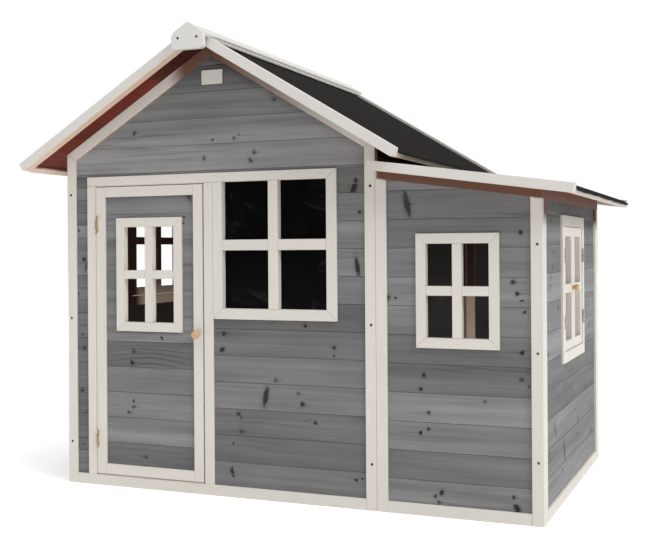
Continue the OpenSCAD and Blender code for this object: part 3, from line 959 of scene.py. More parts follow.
@dataclass(frozen=True)
class BoardShade:
    """How dark an area's boards are, by the roof and the rails over them and by their stain.

    Reach is how far shade comes from the area's upper edge, or from its lower edge where it is
    negative, and a curve over 1 keeps it even before it ends. Fade is how much paler than other
    boards these are out of the shade, rail how dark they are right under a rail, and end and
    end_reach give the shade at their right ends. Stain and spread are the middle and the spread
    of how much more stain a board took than its neighbours, held within limits.
    """

    reach: float = 0.0
    curve: float = 1.0
    fade: float = 0.0
    rail: float = 0.8
    end: float = 0.0
    end_reach: float = 50 * MM
    stain: float = 0.06
    spread: float = 0.2
    limits: Pair = (-0.3, 0.5)

    def stains(self, rng: np.random.Generator, count: int) -> Array:
        """Draws how much more stain each of so many boards took."""
        return rng.normal(self.stain, self.spread, count).clip(*self.limits)

    def over(self, from_low: Array, from_high: Array, from_end: Array) -> Array:
        """Works out the shade of places on the boards.

        From its edge it falls off as (1 - distance to the curve) to the power 2 / curve, where
        the distance is 1 at the reach. Fade is taken off what it leaves open.

        Args:
            from_low: How far each place is from the area's lower edge.
            from_high: How far from its upper edge.
            from_end: How far from the board's right end.

        Returns:
            One number for each place.
        """
        shade = np.zeros_like(from_end)
        if self.reach:
            apart = np.abs(from_high if self.reach > 0 else from_low)
            near = np.clip(apart / abs(self.reach), 0, 1) ** self.curve
            shade = (1 - near) ** (2 / self.curve)
        shade = shade - self.fade * (1 - shade)
        return shade + self.end * (1 - np.clip(from_end / self.end_reach, 0, 1))


@dataclass(frozen=True)
class BoardField:
    """A boarded area that stands for one CAD node: a separate board for each row.

    A point of a board is origin + along times its place + across times its height + out times
    (its board's own lift less its depth behind the face). The shifts keep the grain of boards
    and of their stretches apart. Streak_root is how far along its streak a knot is taken to lie,
    as a share of it and up to root_limit, where faces choose their nearest knot.
    """

    node: str
    body: str
    origin: Point
    along: Point
    across: Point
    out: Point
    outline: Outline
    first_joint: float
    seed: int
    section: BoardSection = BoardSection()
    finish: Finish = Finish.GREY_BOARDS
    slot: str = "boards"
    habit: KnotHabit = KnotHabit()
    shade: BoardShade = BoardShade()
    arches: tuple[Arch, ...] = ()
    cell: float = 22 * MM
    lift: float = 0.3 * MM
    streak_root: float = 0.4
    root_limit: float = 20 * MM
    board_shift: float = 3.1
    span_shift: float = 1.7

    def rows(self) -> list[tuple[int, float, float, bool, bool]]:
        """Cuts the area into strips at the joints and at every level of the outline.

        Returns:
            (board number, low, high, whether low is a joint, whether high is) for each strip.
        """
        levels = [round(level, DIGITS) for level in self.outline.levels()]
        bottom, top = levels[0], levels[-1]
        cover = self.section.cover
        numbers = range(math.ceil((bottom - self.first_joint) / cover),
                        math.floor((top - self.first_joint) / cover) + 1)
        joints = {round(self.first_joint + n * cover, DIGITS) for n in numbers}
        cuts = sorted(joints | set(levels))
        cuts = [cut for cut in cuts if bottom <= cut <= top]
        return [
            (math.floor(((low + high) / 2 - self.first_joint) / cover), low, high,
             low in joints, high in joints)
            for low, high in zip(cuts, cuts[1:]) if high - low > SLIVER
        ]

    def strip(self, parts: MeshParts, row: tuple, span: int, knots: Array,
              marks: dict[int, Pair]) -> None:
        """Adds one stretch of one board.

        Its ends follow the outline: a profile point at a given height runs between the
        outline's two ends at that height, in equal steps.

        Args:
            parts: Where it goes.
            row: One of rows().
            span: Which stretch of the row it is.
            knots: The field's knots.
            marks: Each board's tone and how much more stain it took.
        """
        board, low, high, joint_low, joint_high = row
        inside = 0.05 * MM
        first = np.array(self.outline.spans(low + inside)[span])
        last = np.array(self.outline.spans(high - inside)[span])
        profile = self.section.profile(low, high, joint_low, joint_high)
        ends = first + (last - first) * ((profile[:, 0] - low) / (high - low))[:, None]
        stations = max(2, math.ceil(np.ptp(ends) / self.cell) + 1)
        place = ends[:, 0] + (ends[:, 1] - ends[:, 0]) * np.linspace(0, 1, stations)[:, None]
        height, depth = (np.broadcast_to(column, place.shape) for column in profile.T)
        tone, stain = marks[board]
        flat = np.stack([place, height, self.lift * tone - depth], -1).reshape(-1, 3)
        bow, arched = np.zeros_like(place), np.zeros_like(place)
        for arch in self.arches:
            share = arch.share(place, height)
            bow, arched = bow + share * arch.rise, np.maximum(arched, share)
        shift = self.board_shift * board + self.span_shift * span
        grain = np.stack([place + shift, height - bow, depth], -1).reshape(-1, 3)
        bottom, *_, top = self.outline.levels()
        # Painted shade under the roof, the rails and the rafters' ends, plus each board's extra stain.
        shelter = self.shade.over(flat[:, 1] - bottom, top - flat[:, 1], (ends[:, 1] - place).ravel())
        brow = self.outline.overhung(flat[:, 0], high) * (flat[:, 1] > high - 0.1 * MM)
        shelter = np.maximum(shelter + stain, np.where(brow > 0, self.shade.rail, -np.inf))
        axes = np.array([self.along, self.across, self.out])
        inward = float(np.dot(np.cross(axes[0], axes[1]), axes[2])) > 0
        faces = tube_faces(len(profile), stations, inward)
        parts.add(np.array(self.origin) + flat @ axes, faces, grain=grain,
                  tone=np.full(len(flat), tone), arched=arched.ravel(), shelter=shelter)
        rows = np.floor((knots[:, 1] - self.first_joint) / self.section.cover)
        self.mark_knots(parts, flat, faces, knots[rows == board])

    def mark_knots(self, parts: MeshParts, flat: Array, faces: list[list[int]], knots: Array) -> None:
        """Stores the nearest knot on the corners of each face.

        The nearest is the one with the least distance from the face's middle to a place near the
        root of its streak, where a step along the board counts half a step across it.

        Args:
            parts: Where the values go.
            flat: The strip's points, in the field's own plane.
            faces: The strip's faces.
            knots: The knots of this board.
        """
        corners = np.concatenate([np.array(face) for face in faces])
        lengths = np.array([len(face) for face in faces])
        spots = flat[corners, :2]
        starts = np.concatenate([[0], np.cumsum(lengths)[:-1]])
        middles = np.add.reduceat(spots, starts, axis=0) / lengths[:, None]
        if len(knots):
            apart = middles[:, None, :] - knots[None, :, :2]
            reach = (knots[:, 5] * self.streak_root).clip(-self.root_limit, self.root_limit)
            measure = ((apart[..., 0] - reach) / 2) ** 2 + apart[..., 1] ** 2
            chosen = knots[np.repeat(np.argmin(measure, axis=1), lengths)]
            offset = spots - chosen[:, :2]
            radius, stretch, lean = chosen[:, 2], chosen[:, 3], chosen[:, 4]
            long_way = offset[:, 0] * np.sin(lean) + offset[:, 1] * np.cos(lean)
            short_way = offset[:, 0] * np.cos(lean) - offset[:, 1] * np.sin(lean)
            knot = np.column_stack([offset, radius])
            heart = np.column_stack([short_way / radius, long_way / (radius * stretch), chosen[:, 6]])
            tail = chosen[:, 5]
        else:
            knot = heart = np.zeros((len(corners), 3))
            tail = np.zeros(len(corners))
        parts.add_corners(knot=knot, heart=heart, tail=tail)

    def build(self) -> bpy.types.Object:
        """Makes the boards and puts them in the place of the CAD node.

        Returns:
            The piece.
        """
        rng = np.random.default_rng(self.seed)
        rows = self.rows()
        boards = np.array(sorted({row[0] for row in rows}))
        ends = (min(along for _, along in self.outline.left),
                max(along for _, along in self.outline.right))
        knots = self.habit.scatter(rng, ends, boards, self.first_joint, self.section.cover)
        tones = rng.uniform(-1, 1, len(boards))
        marks = dict(zip(boards.tolist(), zip(tones, self.shade.stains(rng, len(boards)))))
        parts = MeshParts()
        for row in rows:
            for span in range(len(self.outline.spans((row[1] + row[2]) / 2))):
                self.strip(parts, row, span, knots, marks)
        piece = parts.build(f"{self.node}_tongued", self.finish)
        return settle(piece, self.body, self.slot, self.node)


def settle(piece: bpy.types.Object, body: str, slot: str, *nodes: str) -> bpy.types.Object:
    """Fixes a finished piece to its body and hides the CAD nodes that it replaces.

    Args:
        piece: The piece.
        body: The CAD body it moves with.
        slot: Not used.
        nodes: The CAD nodes that it replaces.

    Returns:
        The piece.
    """
    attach(piece, body)
    if nodes:
        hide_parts(*nodes)
    LOG.info("%s: %d faces, on %s", piece.name, len(piece.data.polygons), body)
    return piece


def box_of(node: str) -> tuple[Array, Array]:
    """The lowest and highest corner of a CAD node."""
    low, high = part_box(node)
    return np.array(low), np.array(high)


class Side(Enum):
    """Which way a wall's face looks."""

    FRONT = (0, -1, 0)
    BACK = (0, 1, 0)
    LEFT = (-1, 0, 0)
    RIGHT = (1, 0, 0)


@dataclass(frozen=True)
class BoardedWalls:
    """Every boarded wall and the door leaf's boards.

    Wall boards keep their face 7 mm behind the framing, and are tucked 1 mm under it at their
    ends. A joint is the height of one joint between boards, a cover the height that a board shows.
    """

    tuck: float = 1 * MM
    front_joint: float = 26.5 * MM
    door_joint: float = 61 * MM
    strip_cover: float = 42.5 * MM
    annex_joint: float = 17.5 * MM
    annex_cover: float = 86 * MM

    def door_arch(self) -> Arch:
        """The arched figure in the middle of the door, one board below its window.

        Returns:
            The arch.
        """
        low, high = box_of("door_boards")
        sill = box_of("door_window")[0][2]
        return Arch((low[0] + high[0]) / 2, sill - BoardSection().cover)

    def panel(self, node: str, joint: float, seed: int, side: Side = Side.FRONT,
              hole: str | None = None, top: Callable[..., Outline] | None = None,
              body: str = "house", **more: object) -> BoardField:
        """Lays out a wall's boards in the place of its CAD node.

        Args:
            node: The boards' CAD node.
            joint: The height of one joint between boards.
            seed: The seed of its random numbers.
            side: Which way its face looks.
            hole: The CAD node of a window that interrupts the boards.
            top: Makes the outline where it isn't square, from its low left and high right corner.
            body: Its body.
            more: Other fields of BoardField.

        Returns:
            The field, ready to build.
        """
        out = side.value
        axis = 0 if side in (Side.FRONT, Side.BACK) else 1
        low, high = box_of(node)
        face = np.abs(out) * (low if sum(out) < 0 else high)
        seen = [axis, 2]
        first, last = (low - self.tuck)[seen].tolist(), (high + self.tuck)[seen].tolist()
        outline = (top or self.oblong)(first, last)
        if hole:
            hole_low, hole_high = box_of(hole)
            edges = np.stack([hole_low + self.tuck, hole_high - self.tuck], -1)[seen]
            outline = replace(outline, holes=(tuple(edges.ravel().tolist()),))
        along = (1 - axis, axis, 0)
        return BoardField(node, body, tuple(face), along, (0, 0, 1), out, outline, joint, seed, **more)

    @staticmethod
    def oblong(first: Sequence[float], last: Sequence[float]) -> Outline:
        """The outline of a wall that ends square."""
        (left, low), (right, high) = first, last
        return Outline(((low, left), (high, left)), ((low, right), (high, right)))

    @staticmethod
    def gable(first: Sequence[float], last: Sequence[float]) -> Outline:
        """The outline under the gable's two rafters: upright ends, then sloping to a blunt apex.

        Args:
            first: The area's low left corner, as (along, up).
            last: Its high right corner.

        Returns:
            The outline.
        """
        (left, low), (right, high) = first, last
        middle, rise, tip = (left + right) / 2, math.tan(ROOF_PITCH), 2 * MM
        shoulder, top = high - (right - middle) * rise, high - tip * rise
        return Outline(((low, left), (shoulder, left), (top, middle - tip)),
                       ((low, right), (shoulder, right), (top, middle + tip)))

    @staticmethod
    def lean_to(first: Sequence[float], last: Sequence[float]) -> Outline:
        """The outline under the annex's rafter, which falls from a blunt left end to the right.

        Args:
            first: The area's low left corner, as (along, up).
            last: Its high right corner.

        Returns:
            The outline.
        """
        (left, low), (right, high) = first, last
        fall, tip = math.tan(ANNEX_PITCH), 4 * MM
        top = high - tip * fall
        return Outline(((low, left), (top, left)),
                       ((low, right), (high - (right - left) * fall, right), (top, left + tip)))

    def build(self) -> None:
        """Makes every wall's boards."""
        wide = BoardSection(cover=self.annex_cover)
        narrow = BoardSection(cover=self.strip_cover)
        front, annex, door = self.front_joint, self.annex_joint, self.door_joint
        fields = (
            self.panel("front_boards_left", front, 11, section=narrow,
                       shade=BoardShade(fade=-0.1), habit=KnotHabit(most=1)),
            self.panel("front_boards_right", front, 12, hole="front_window_frame"),
            self.panel("front_boards_gable", front, 13, top=self.gable,
                       shade=BoardShade(reach=240 * MM, fade=0.4, end=0.5, stain=0.0)),
            self.panel("back_boards", front, 14, Side.BACK, top=self.gable),
            self.panel("annex_front_boards", annex, 15, hole="annex_window_frame",
                       top=self.lean_to, section=wide, shade=BoardShade(fade=0.04)),
            self.panel("annex_back_boards", annex, 16, Side.BACK, top=self.lean_to, section=wide),
            self.panel("right_wall_boards", front, 17, Side.RIGHT, "right_window_casing",
                       section=wide, shade=BoardShade(reach=95 * MM, curve=2.0, fade=0.16)),
            self.panel("left_wall_boards", front, 18, Side.LEFT, "left_window_casing", section=wide),
            self.panel("door_boards", door, 19, hole="door_window", body="door",
                       arches=(self.door_arch(),)),
        )
        for each in fields:
            each.build()


# ---------------------------------------------------------------- roofs


@dataclass(frozen=True)
class Slope:
    """One side of a roof: places on it are a distance down the slope and a height off it.

    A point is start + down times its distance + up times its height, at its own depth along Y.
    """

    start: Point
    pitch: float
    side: int

    @property
    def down(self) -> Point:
        """The direction down the slope."""
        return (self.side * math.cos(self.pitch), 0.0, -math.sin(self.pitch))

    @property
    def up(self) -> Point:
        """The direction off the slope."""
        return (self.side * math.sin(self.pitch), 0.0, math.cos(self.pitch))

    def place(self, distance: Array, depth: Array, height: Array) -> Array:
        """Points at distances down the slope, depths along Y and heights off it."""
        axes = np.array([self.down, (0.0, 1.0, 0.0), self.up])
        return np.array(self.start) + np.stack([distance, depth, height], -1) @ axes


@dataclass(frozen=True)
class FeltSheet:
    """A roof side's felt: a sheet with faint ripples whose free edge droops past the eave.

    Its middle surface is the lay height, plus ripples, less a droop that grows with the square
    of the distance past the bend. It dips there too, evenly, down to four fifths of the way. With
    a lip, its last edge turns down by a quarter ellipse, turned long and lip deep. The sheet
    stops a hem short of its CAD box at both ends.
    """

    node: str
    slope: Slope
    length: float
    bend: float
    droop: float
    seed: int
    lay: float = 13.5 * MM
    thickness: float = 2.2 * MM
    ripple: float = 0.5 * MM
    dip: float = 0.0
    lip: float = 0.0
    turned: float = 4 * MM
    hem: float = 0.4 * MM
    start: float = 0.8 * MM
    upper_rows: int = 40
    edge_rows: int = 13
    lip_rows: int = 8
    columns: int = 97
    waves: int = 7
    unevenness: float = 0.55

    def ripples(self, distance: Array, depth: Array) -> Array:
        """A sum of long, low waves with seeded places.

        Args:
            distance: Distances down the slope.
            depth: Places along Y.

        Returns:
            The sum at each place, between -1 and 1.
        """
        rng = np.random.default_rng(self.seed)
        total = np.zeros_like(distance)
        for _ in range(self.waves):
            across, along, start = rng.uniform(4, 16), rng.uniform(5, 24), rng.uniform(0, 6.3)
            total += np.sin(distance * across + depth * along + start) / self.waves
        return total

    def build(self) -> bpy.types.Object:
        """Makes the sheet and puts it in the place of the CAD node.

        Returns:
            The piece.
        """
        low, high = box_of(self.node)
        turned = self.turned if self.lip else 0
        upper = np.linspace(self.start, self.bend, self.upper_rows)
        edge = np.linspace(self.bend, self.length - turned, self.edge_rows)[1:]
        turn = np.linspace(0, np.pi / 2, self.lip_rows)[1:] if self.lip else np.zeros(0)
        distance = np.concatenate([upper, edge, self.length - turned * (1 - np.sin(turn))])
        fall = np.concatenate([upper * 0, edge * 0, self.lip * (1 - np.cos(turn))])
        depth = np.linspace(low[1] + self.hem, high[1] - self.hem, self.columns)
        down, along = np.meshgrid(distance, depth, indexing="ij")
        past = ((down - self.bend) / (self.length - self.bend)).clip(0, 1)
        uneven = 1 + self.unevenness * self.ripples(down * 0, along * 1.7)
        height = (self.lay + self.ripple * (self.ripples(down, along) + 1) - fall[:, None]
                  - self.dip * (past * 1.25).clip(0, 1) - self.droop * past**2 * uneven)
        points = self.slope.place(down, along, height).reshape(-1, 3)
        rows, columns = down.shape
        numbers = np.arange(rows * columns).reshape(rows, columns)
        quads = np.stack([numbers[:-1, :-1], numbers[1:, :-1], numbers[1:, 1:], numbers[:-1, 1:]], -1)
        faces = quads.reshape(-1, 4)
        faces = faces if self.slope.side > 0 else faces[:, ::-1]
        parts = MeshParts()
        parts.add(points, faces.tolist(), run=np.stack([down, along, down * 0], -1).reshape(-1, 3))
        piece = parts.build(f"{self.node}_sheet", Finish.FELT, smooth=True)
        solid = piece.modifiers.new("thickness", "SOLIDIFY")
        solid.thickness = self.thickness
        solid.offset = 0
        return settle(piece, "house", "felt", self.node)


@dataclass(frozen=True)
class Roofs:
    """The boards and felt of the gabled roof's two sides and of the annex.

    Lengths run down the slopes. The annex's felt bends where its boards end. Wall_top is where
    a gable slope meets the wall's outer face, and lift how far boards lie off a slope.
    """

    wall_top: float = 1117 * MM
    lift: float = 0.5 * MM
    clearance: float = 0.3 * MM
    board_start: float = 1.2 * MM
    first_cover: float = 40 * MM
    section: BoardSection = BoardSection(cover=86 * MM, thickness=12 * MM)
    knots: KnotHabit = KnotHabit(spacing=450 * MM, most=1)
    shade: BoardShade = BoardShade(reach=-215 * MM, curve=3.0, rail=0.0, spread=0.1)
    gable_boards: float = 738 * MM
    gable_bend: float = 758 * MM
    gable_felt: float = 768 * MM
    annex_boards: float = 584 * MM
    annex_felt: float = 614 * MM

    def slopes(self) -> tuple[Slope, Slope, Slope]:
        """Lays out the left, right and annex slopes.

        The first two meet over the front's middle, at the wall's top raised by the pitch. The
        annex's starts at the top left of its frame.

        Returns:
            The three slopes.
        """
        low, high = box_of("front_frame")
        ridge_height = self.wall_top + (high[0] - low[0]) / 2 * math.tan(ROOF_PITCH)
        ridge = ((low[0] + high[0]) / 2, 0.0, ridge_height)
        annex_low, annex_high = box_of("annex_front_frame")
        return (Slope(ridge, ROOF_PITCH, -1), Slope(ridge, ROOF_PITCH, 1),
                Slope((annex_low[0], 0.0, annex_high[2]), ANNEX_PITCH, 1))

    def boards(self, node: str, slope: Slope, end: float, seed: int) -> BoardField:
        """Lays out one side's boards, whose good face looks down.

        Args:
            node: The boards' CAD node.
            slope: The roof's side.
            end: How far down it the boards run.
            seed: The seed of their random numbers.

        Returns:
            The field, ready to build.
        """
        low, high = box_of(node)
        near, far = low[1] + self.clearance, high[1] - self.clearance
        start = self.board_start
        outline = Outline(((start, near), (end, near)), ((start, far), (end, far)))
        up = np.array(slope.up)
        origin = np.array(slope.start) + up * self.lift
        return BoardField(node, "house", tuple(origin), (0, 1, 0), slope.down, tuple(-up), outline,
                          start + self.first_cover, seed, self.section, Finish.RED_BOARDS, "soffit",
                          self.knots, self.shade, cell=60 * MM, lift=0.15 * MM)

    def build(self) -> None:
        """Makes the boards and felt."""
        left, right, annex = self.slopes()
        self.boards("roof_boards_left", left, self.gable_boards, 31).build()
        self.boards("roof_boards_right", right, self.gable_boards, 32).build()
        self.boards("annex_roof_boards", annex, self.annex_boards, 33).build()
        for node, slope, seed in (("roof_felt_left", left, 41), ("roof_felt_right", right, 42)):
            FeltSheet(node, slope, self.gable_felt, self.gable_bend, 3 * MM, seed).build()
        FeltSheet("annex_roof_felt", annex, self.annex_felt, self.annex_boards, 4 * MM, 43,
                  dip=6 * MM, lip=8 * MM).build()


# ---------------------------------------------------------------- timbers and fittings


def same_points(points: Array) -> Array:
    """Numbers points so that those at one place have one number."""
    return np.unique(np.round(points, DIGITS), axis=0, return_inverse=True)[1].ravel()


@dataclass(frozen=True)
class Joinery:
    """CAD nodes made of sawn bars: they keep their shape and get grain, soft arrises and painted shade.

    Each pair is a start and a reach. The painted shade is the start at the gable's apex, or at the
    top of a post beside the annex's eave, and it falls by 1 with every reach from there.
    """

    arris: float = 1 * MM
    small_arris: float = 0.3 * MM
    rafters_over: float = 500 * MM
    left_rafter: Pair = (1.5, 180 * MM)
    right_rafter: Pair = (1.0, 1300 * MM)
    eave_post: Pair = (1.9, 80 * MM)
    NODES = {
        Finish.WALL_TRIM: (
            "front_frame", "door_posts", "head_rail", "front_window_frame", "back_frame",
            "annex_front_frame", "annex_window_frame", "annex_back_frame", "right_wall_frame",
            "right_window_casing", "right_casements", "left_wall_frame", "left_window_casing",
            "left_casements", "header_beam", "door_frame", "door_window",
        ),
        Finish.ROOF_TRIM: ("front_bargeboards", "back_bargeboards", "eave_battens",
                           "annex_bargeboards", "name_plate"),
        Finish.RIDGE_TRIM: ("ridge_cap", "ridge_end_pieces"),
    }
    SMALL_NODES = (
        "annex_window_frame", "right_window_casing", "right_casements", "left_window_casing",
        "left_casements", "door_window", "door_frame",
    )

    def shelter(self, node: str, points: Array, along: Array) -> Array:
        """How much painted shade a bar's points get under a roof: a start less a distance over a reach.

        Args:
            node: The bar's CAD node.
            points: The bar's points.
            along: The bar's direction.

        Returns:
            One number for each point, 1 on the rails under the annex's roof.
        """
        low, high = box_of(node)
        level = abs(along[2]) < 0.9
        overhead = level and points.mean(0)[2] > self.rafters_over
        if node in ("front_frame", "back_frame") and overhead:
            apex = (low[0] + high[0]) / 2
            start, reach = self.left_rafter if points.mean(0)[0] < apex else self.right_rafter
            return start - np.abs(points[:, 0] - apex) / reach
        if node in ("annex_front_frame", "annex_back_frame", "right_wall_frame") and level:
            return np.full(len(points), float(overhead))
        if node == "right_wall_frame":
            start, reach = self.eave_post
            return start - (high[2] - points[:, 2]) / reach
        return np.zeros(len(points))

    @staticmethod
    def islands(corners: Array, triangles: Array) -> Array:
        """Numbers the separate solids of loose triangles.

        Points at one place are the same point. Each point takes the lowest number among the
        triangles that it touches, over and over, until nothing changes.

        Args:
            corners: Points, one a row.
            triangles: Numbers of the points of each triangle.

        Returns:
            The solid's number for each point.
        """
        same = same_points(corners)
        joined = same[triangles]
        label = np.arange(same.max() + 1)
        while True:
            before = label.copy()
            lowest = label[joined].min(axis=1)
            np.minimum.at(label, joined.ravel(), np.repeat(lowest, 3))
            if (label == before).all():
                return label[same]

    @staticmethod
    def bar_axes(points: Array, triangles: Array) -> Array:
        """The direction along a bar and two across it.

        The direction along is that of the longest edge between two faces that turn. The two
        across are the first face normal square to it, and their cross product.

        Args:
            points: The bar's points.
            triangles: Its triangles.

        Returns:
            Three unit rows: along, across and across again.
        """
        same = same_points(points)
        a, b, c = (points[triangles[:, n]] for n in range(3))
        normals = np.cross(b - a, c - a)
        normals /= np.linalg.norm(normals, axis=1)[:, None]
        pairs = np.concatenate([triangles[:, [0, 1]], triangles[:, [1, 2]], triangles[:, [2, 0]]])
        owner = np.tile(np.arange(len(triangles)), 3)
        keys = np.sort(same[pairs], axis=1)
        order = np.lexsort((keys[:, 1], keys[:, 0]))
        first, second = order[0::2], order[1::2]
        coplanar = 0.98
        turns = (normals[owner[first]] * normals[owner[second]]).sum(1) < coplanar
        edges = points[pairs[first, 1]] - points[pairs[first, 0]]
        length = np.linalg.norm(edges, axis=1) * turns
        along = edges[np.argmax(length)]
        along = along / np.linalg.norm(along)
        side = normals[np.argmin(np.abs(normals @ along))]
        return np.array([along, side, np.cross(along, side)])

    def dress(self, node: str, finish: Finish, seed: int) -> None:
        """Gives one node's bars their grain, tone and size, and softens their edges.

        Args:
            node: The CAD node.
            finish: Its paint.
            seed: The seed of its bars' tones.
        """
        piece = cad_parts[node]
        mesh = piece.data
        corners = np.zeros(len(mesh.vertices) * 3)
        mesh.vertices.foreach_get("co", corners)
        corners = corners.reshape(-1, 3)
        triangles = np.array([face.vertices[:] for face in mesh.polygons])
        label = self.islands(corners, triangles)
        grain, half = np.zeros_like(corners), np.zeros_like(corners)
        tone, shelter = np.zeros(len(corners)), np.zeros(len(corners))
        rng = np.random.default_rng(seed)
        for bar in np.unique(label):
            own = label == bar
            axes = self.bar_axes(corners, triangles[own[triangles[:, 0]]])
            local = corners[own] @ axes.T
            grain[own] = local - (local.min(0) + local.max(0)) / 2
            half[own] = np.ptp(local, axis=0)[[1, 2, 0]] / 2
            tone[own] = rng.uniform(-1, 1)
            shelter[own] = self.shelter(node, corners[own], axes[0])
        write_attributes(mesh, "POINT", dict(grain=grain, half=half, tone=tone, shelter=shelter))
        soften(piece, self.small_arris if node in self.SMALL_NODES else self.arris)
        repaint(piece, finish)
        LOG.info("%s: %d bars", node, len(np.unique(label)))

    def build(self) -> None:
        """Dresses every timber."""
        for hundred, (finish, nodes) in enumerate(self.NODES.items(), start=1):
            for number, node in enumerate(nodes):
                self.dress(node, finish, 100 * hundred + number)


def soften(piece: bpy.types.Object, width: float) -> None:
    """Joins a CAD node's triangles into whole faces and rounds its edges.

    Args:
        piece: The node's object.
        width: How far the rounding reaches.
    """
    weld = piece.modifiers.new("weld", "WELD")
    weld.merge_threshold = 0.01 * MM
    flat = piece.modifiers.new("flat faces", "DECIMATE")
    flat.decimate_type = "DISSOLVE"
    flat.angle_limit = math.radians(0.5)
    round_off = piece.modifiers.new("arrises", "BEVEL")
    round_off.width = width
    round_off.segments = 2
    round_off.limit_method = "ANGLE"
    round_off.angle_limit = math.radians(35)


def repaint(piece: bpy.types.Object, finish: Finish) -> None:
    """Gives a CAD node one finish in every slot.

    Args:
        piece: The node's object.
        finish: The finish.
    """
    material = painted(finish)
    if not piece.data.materials:
        piece.data.materials.append(material)
    for slot in piece.material_slots:
        slot.material = material


@dataclass(frozen=True)
class DoorStops:
    """Thin painted strips in the clearance round the door: a gap wide, less what each side clears.

    The left one is in stretches, from one height to another, which leave the hinges free. Depth
    is from the front framing's face.
    """

    gap: float = 5 * MM
    left_clear: float = 1.6 * MM
    bottom_clear: float = 2.2 * MM
    top_clear: float = 2.6 * MM
    past_leaf: float = 2 * MM
    depth: Pair = (3 * MM, 21 * MM)
    stretches: tuple[Pair, ...] = ((40 * MM, 126 * MM), (186 * MM, 848 * MM), (908 * MM, 1003 * MM))

    def build(self) -> None:
        """Makes the strips."""
        (x0, _, z0), (x1, _, z1) = box_of("door_frame")
        face = box_of("front_frame")[0][1]
        strips = [(x0 - self.gap, x0 - self.left_clear, *ends) for ends in self.stretches]
        strips += [(x0 - self.left_clear, x1 + self.past_leaf, z0 - self.gap, z0 - self.bottom_clear),
                   (x0 - self.gap, x1 + self.past_leaf, z1 + self.top_clear, z1 + self.gap)]
        parts = MeshParts()
        corners = np.array([(a, b, c) for a in (0, 1) for b in (0, 1) for c in (0, 1)])
        faces = [[0, 1, 3, 2], [4, 6, 7, 5], [0, 4, 5, 1], [2, 3, 7, 6], [0, 2, 6, 4], [1, 5, 7, 3]]
        for west, east, low, high in strips:
            first = np.array([west, face + self.depth[0], low])
            points = first + corners * (np.array([east, face + self.depth[1], high]) - first)
            parts.add(points, faces, grain=points[:, [2, 0, 1]],
                      half=np.full((8, 3), 10.0), tone=np.zeros(8))
        settle(parts.build("door_stops", Finish.WALL_TRIM), "house", "trim")


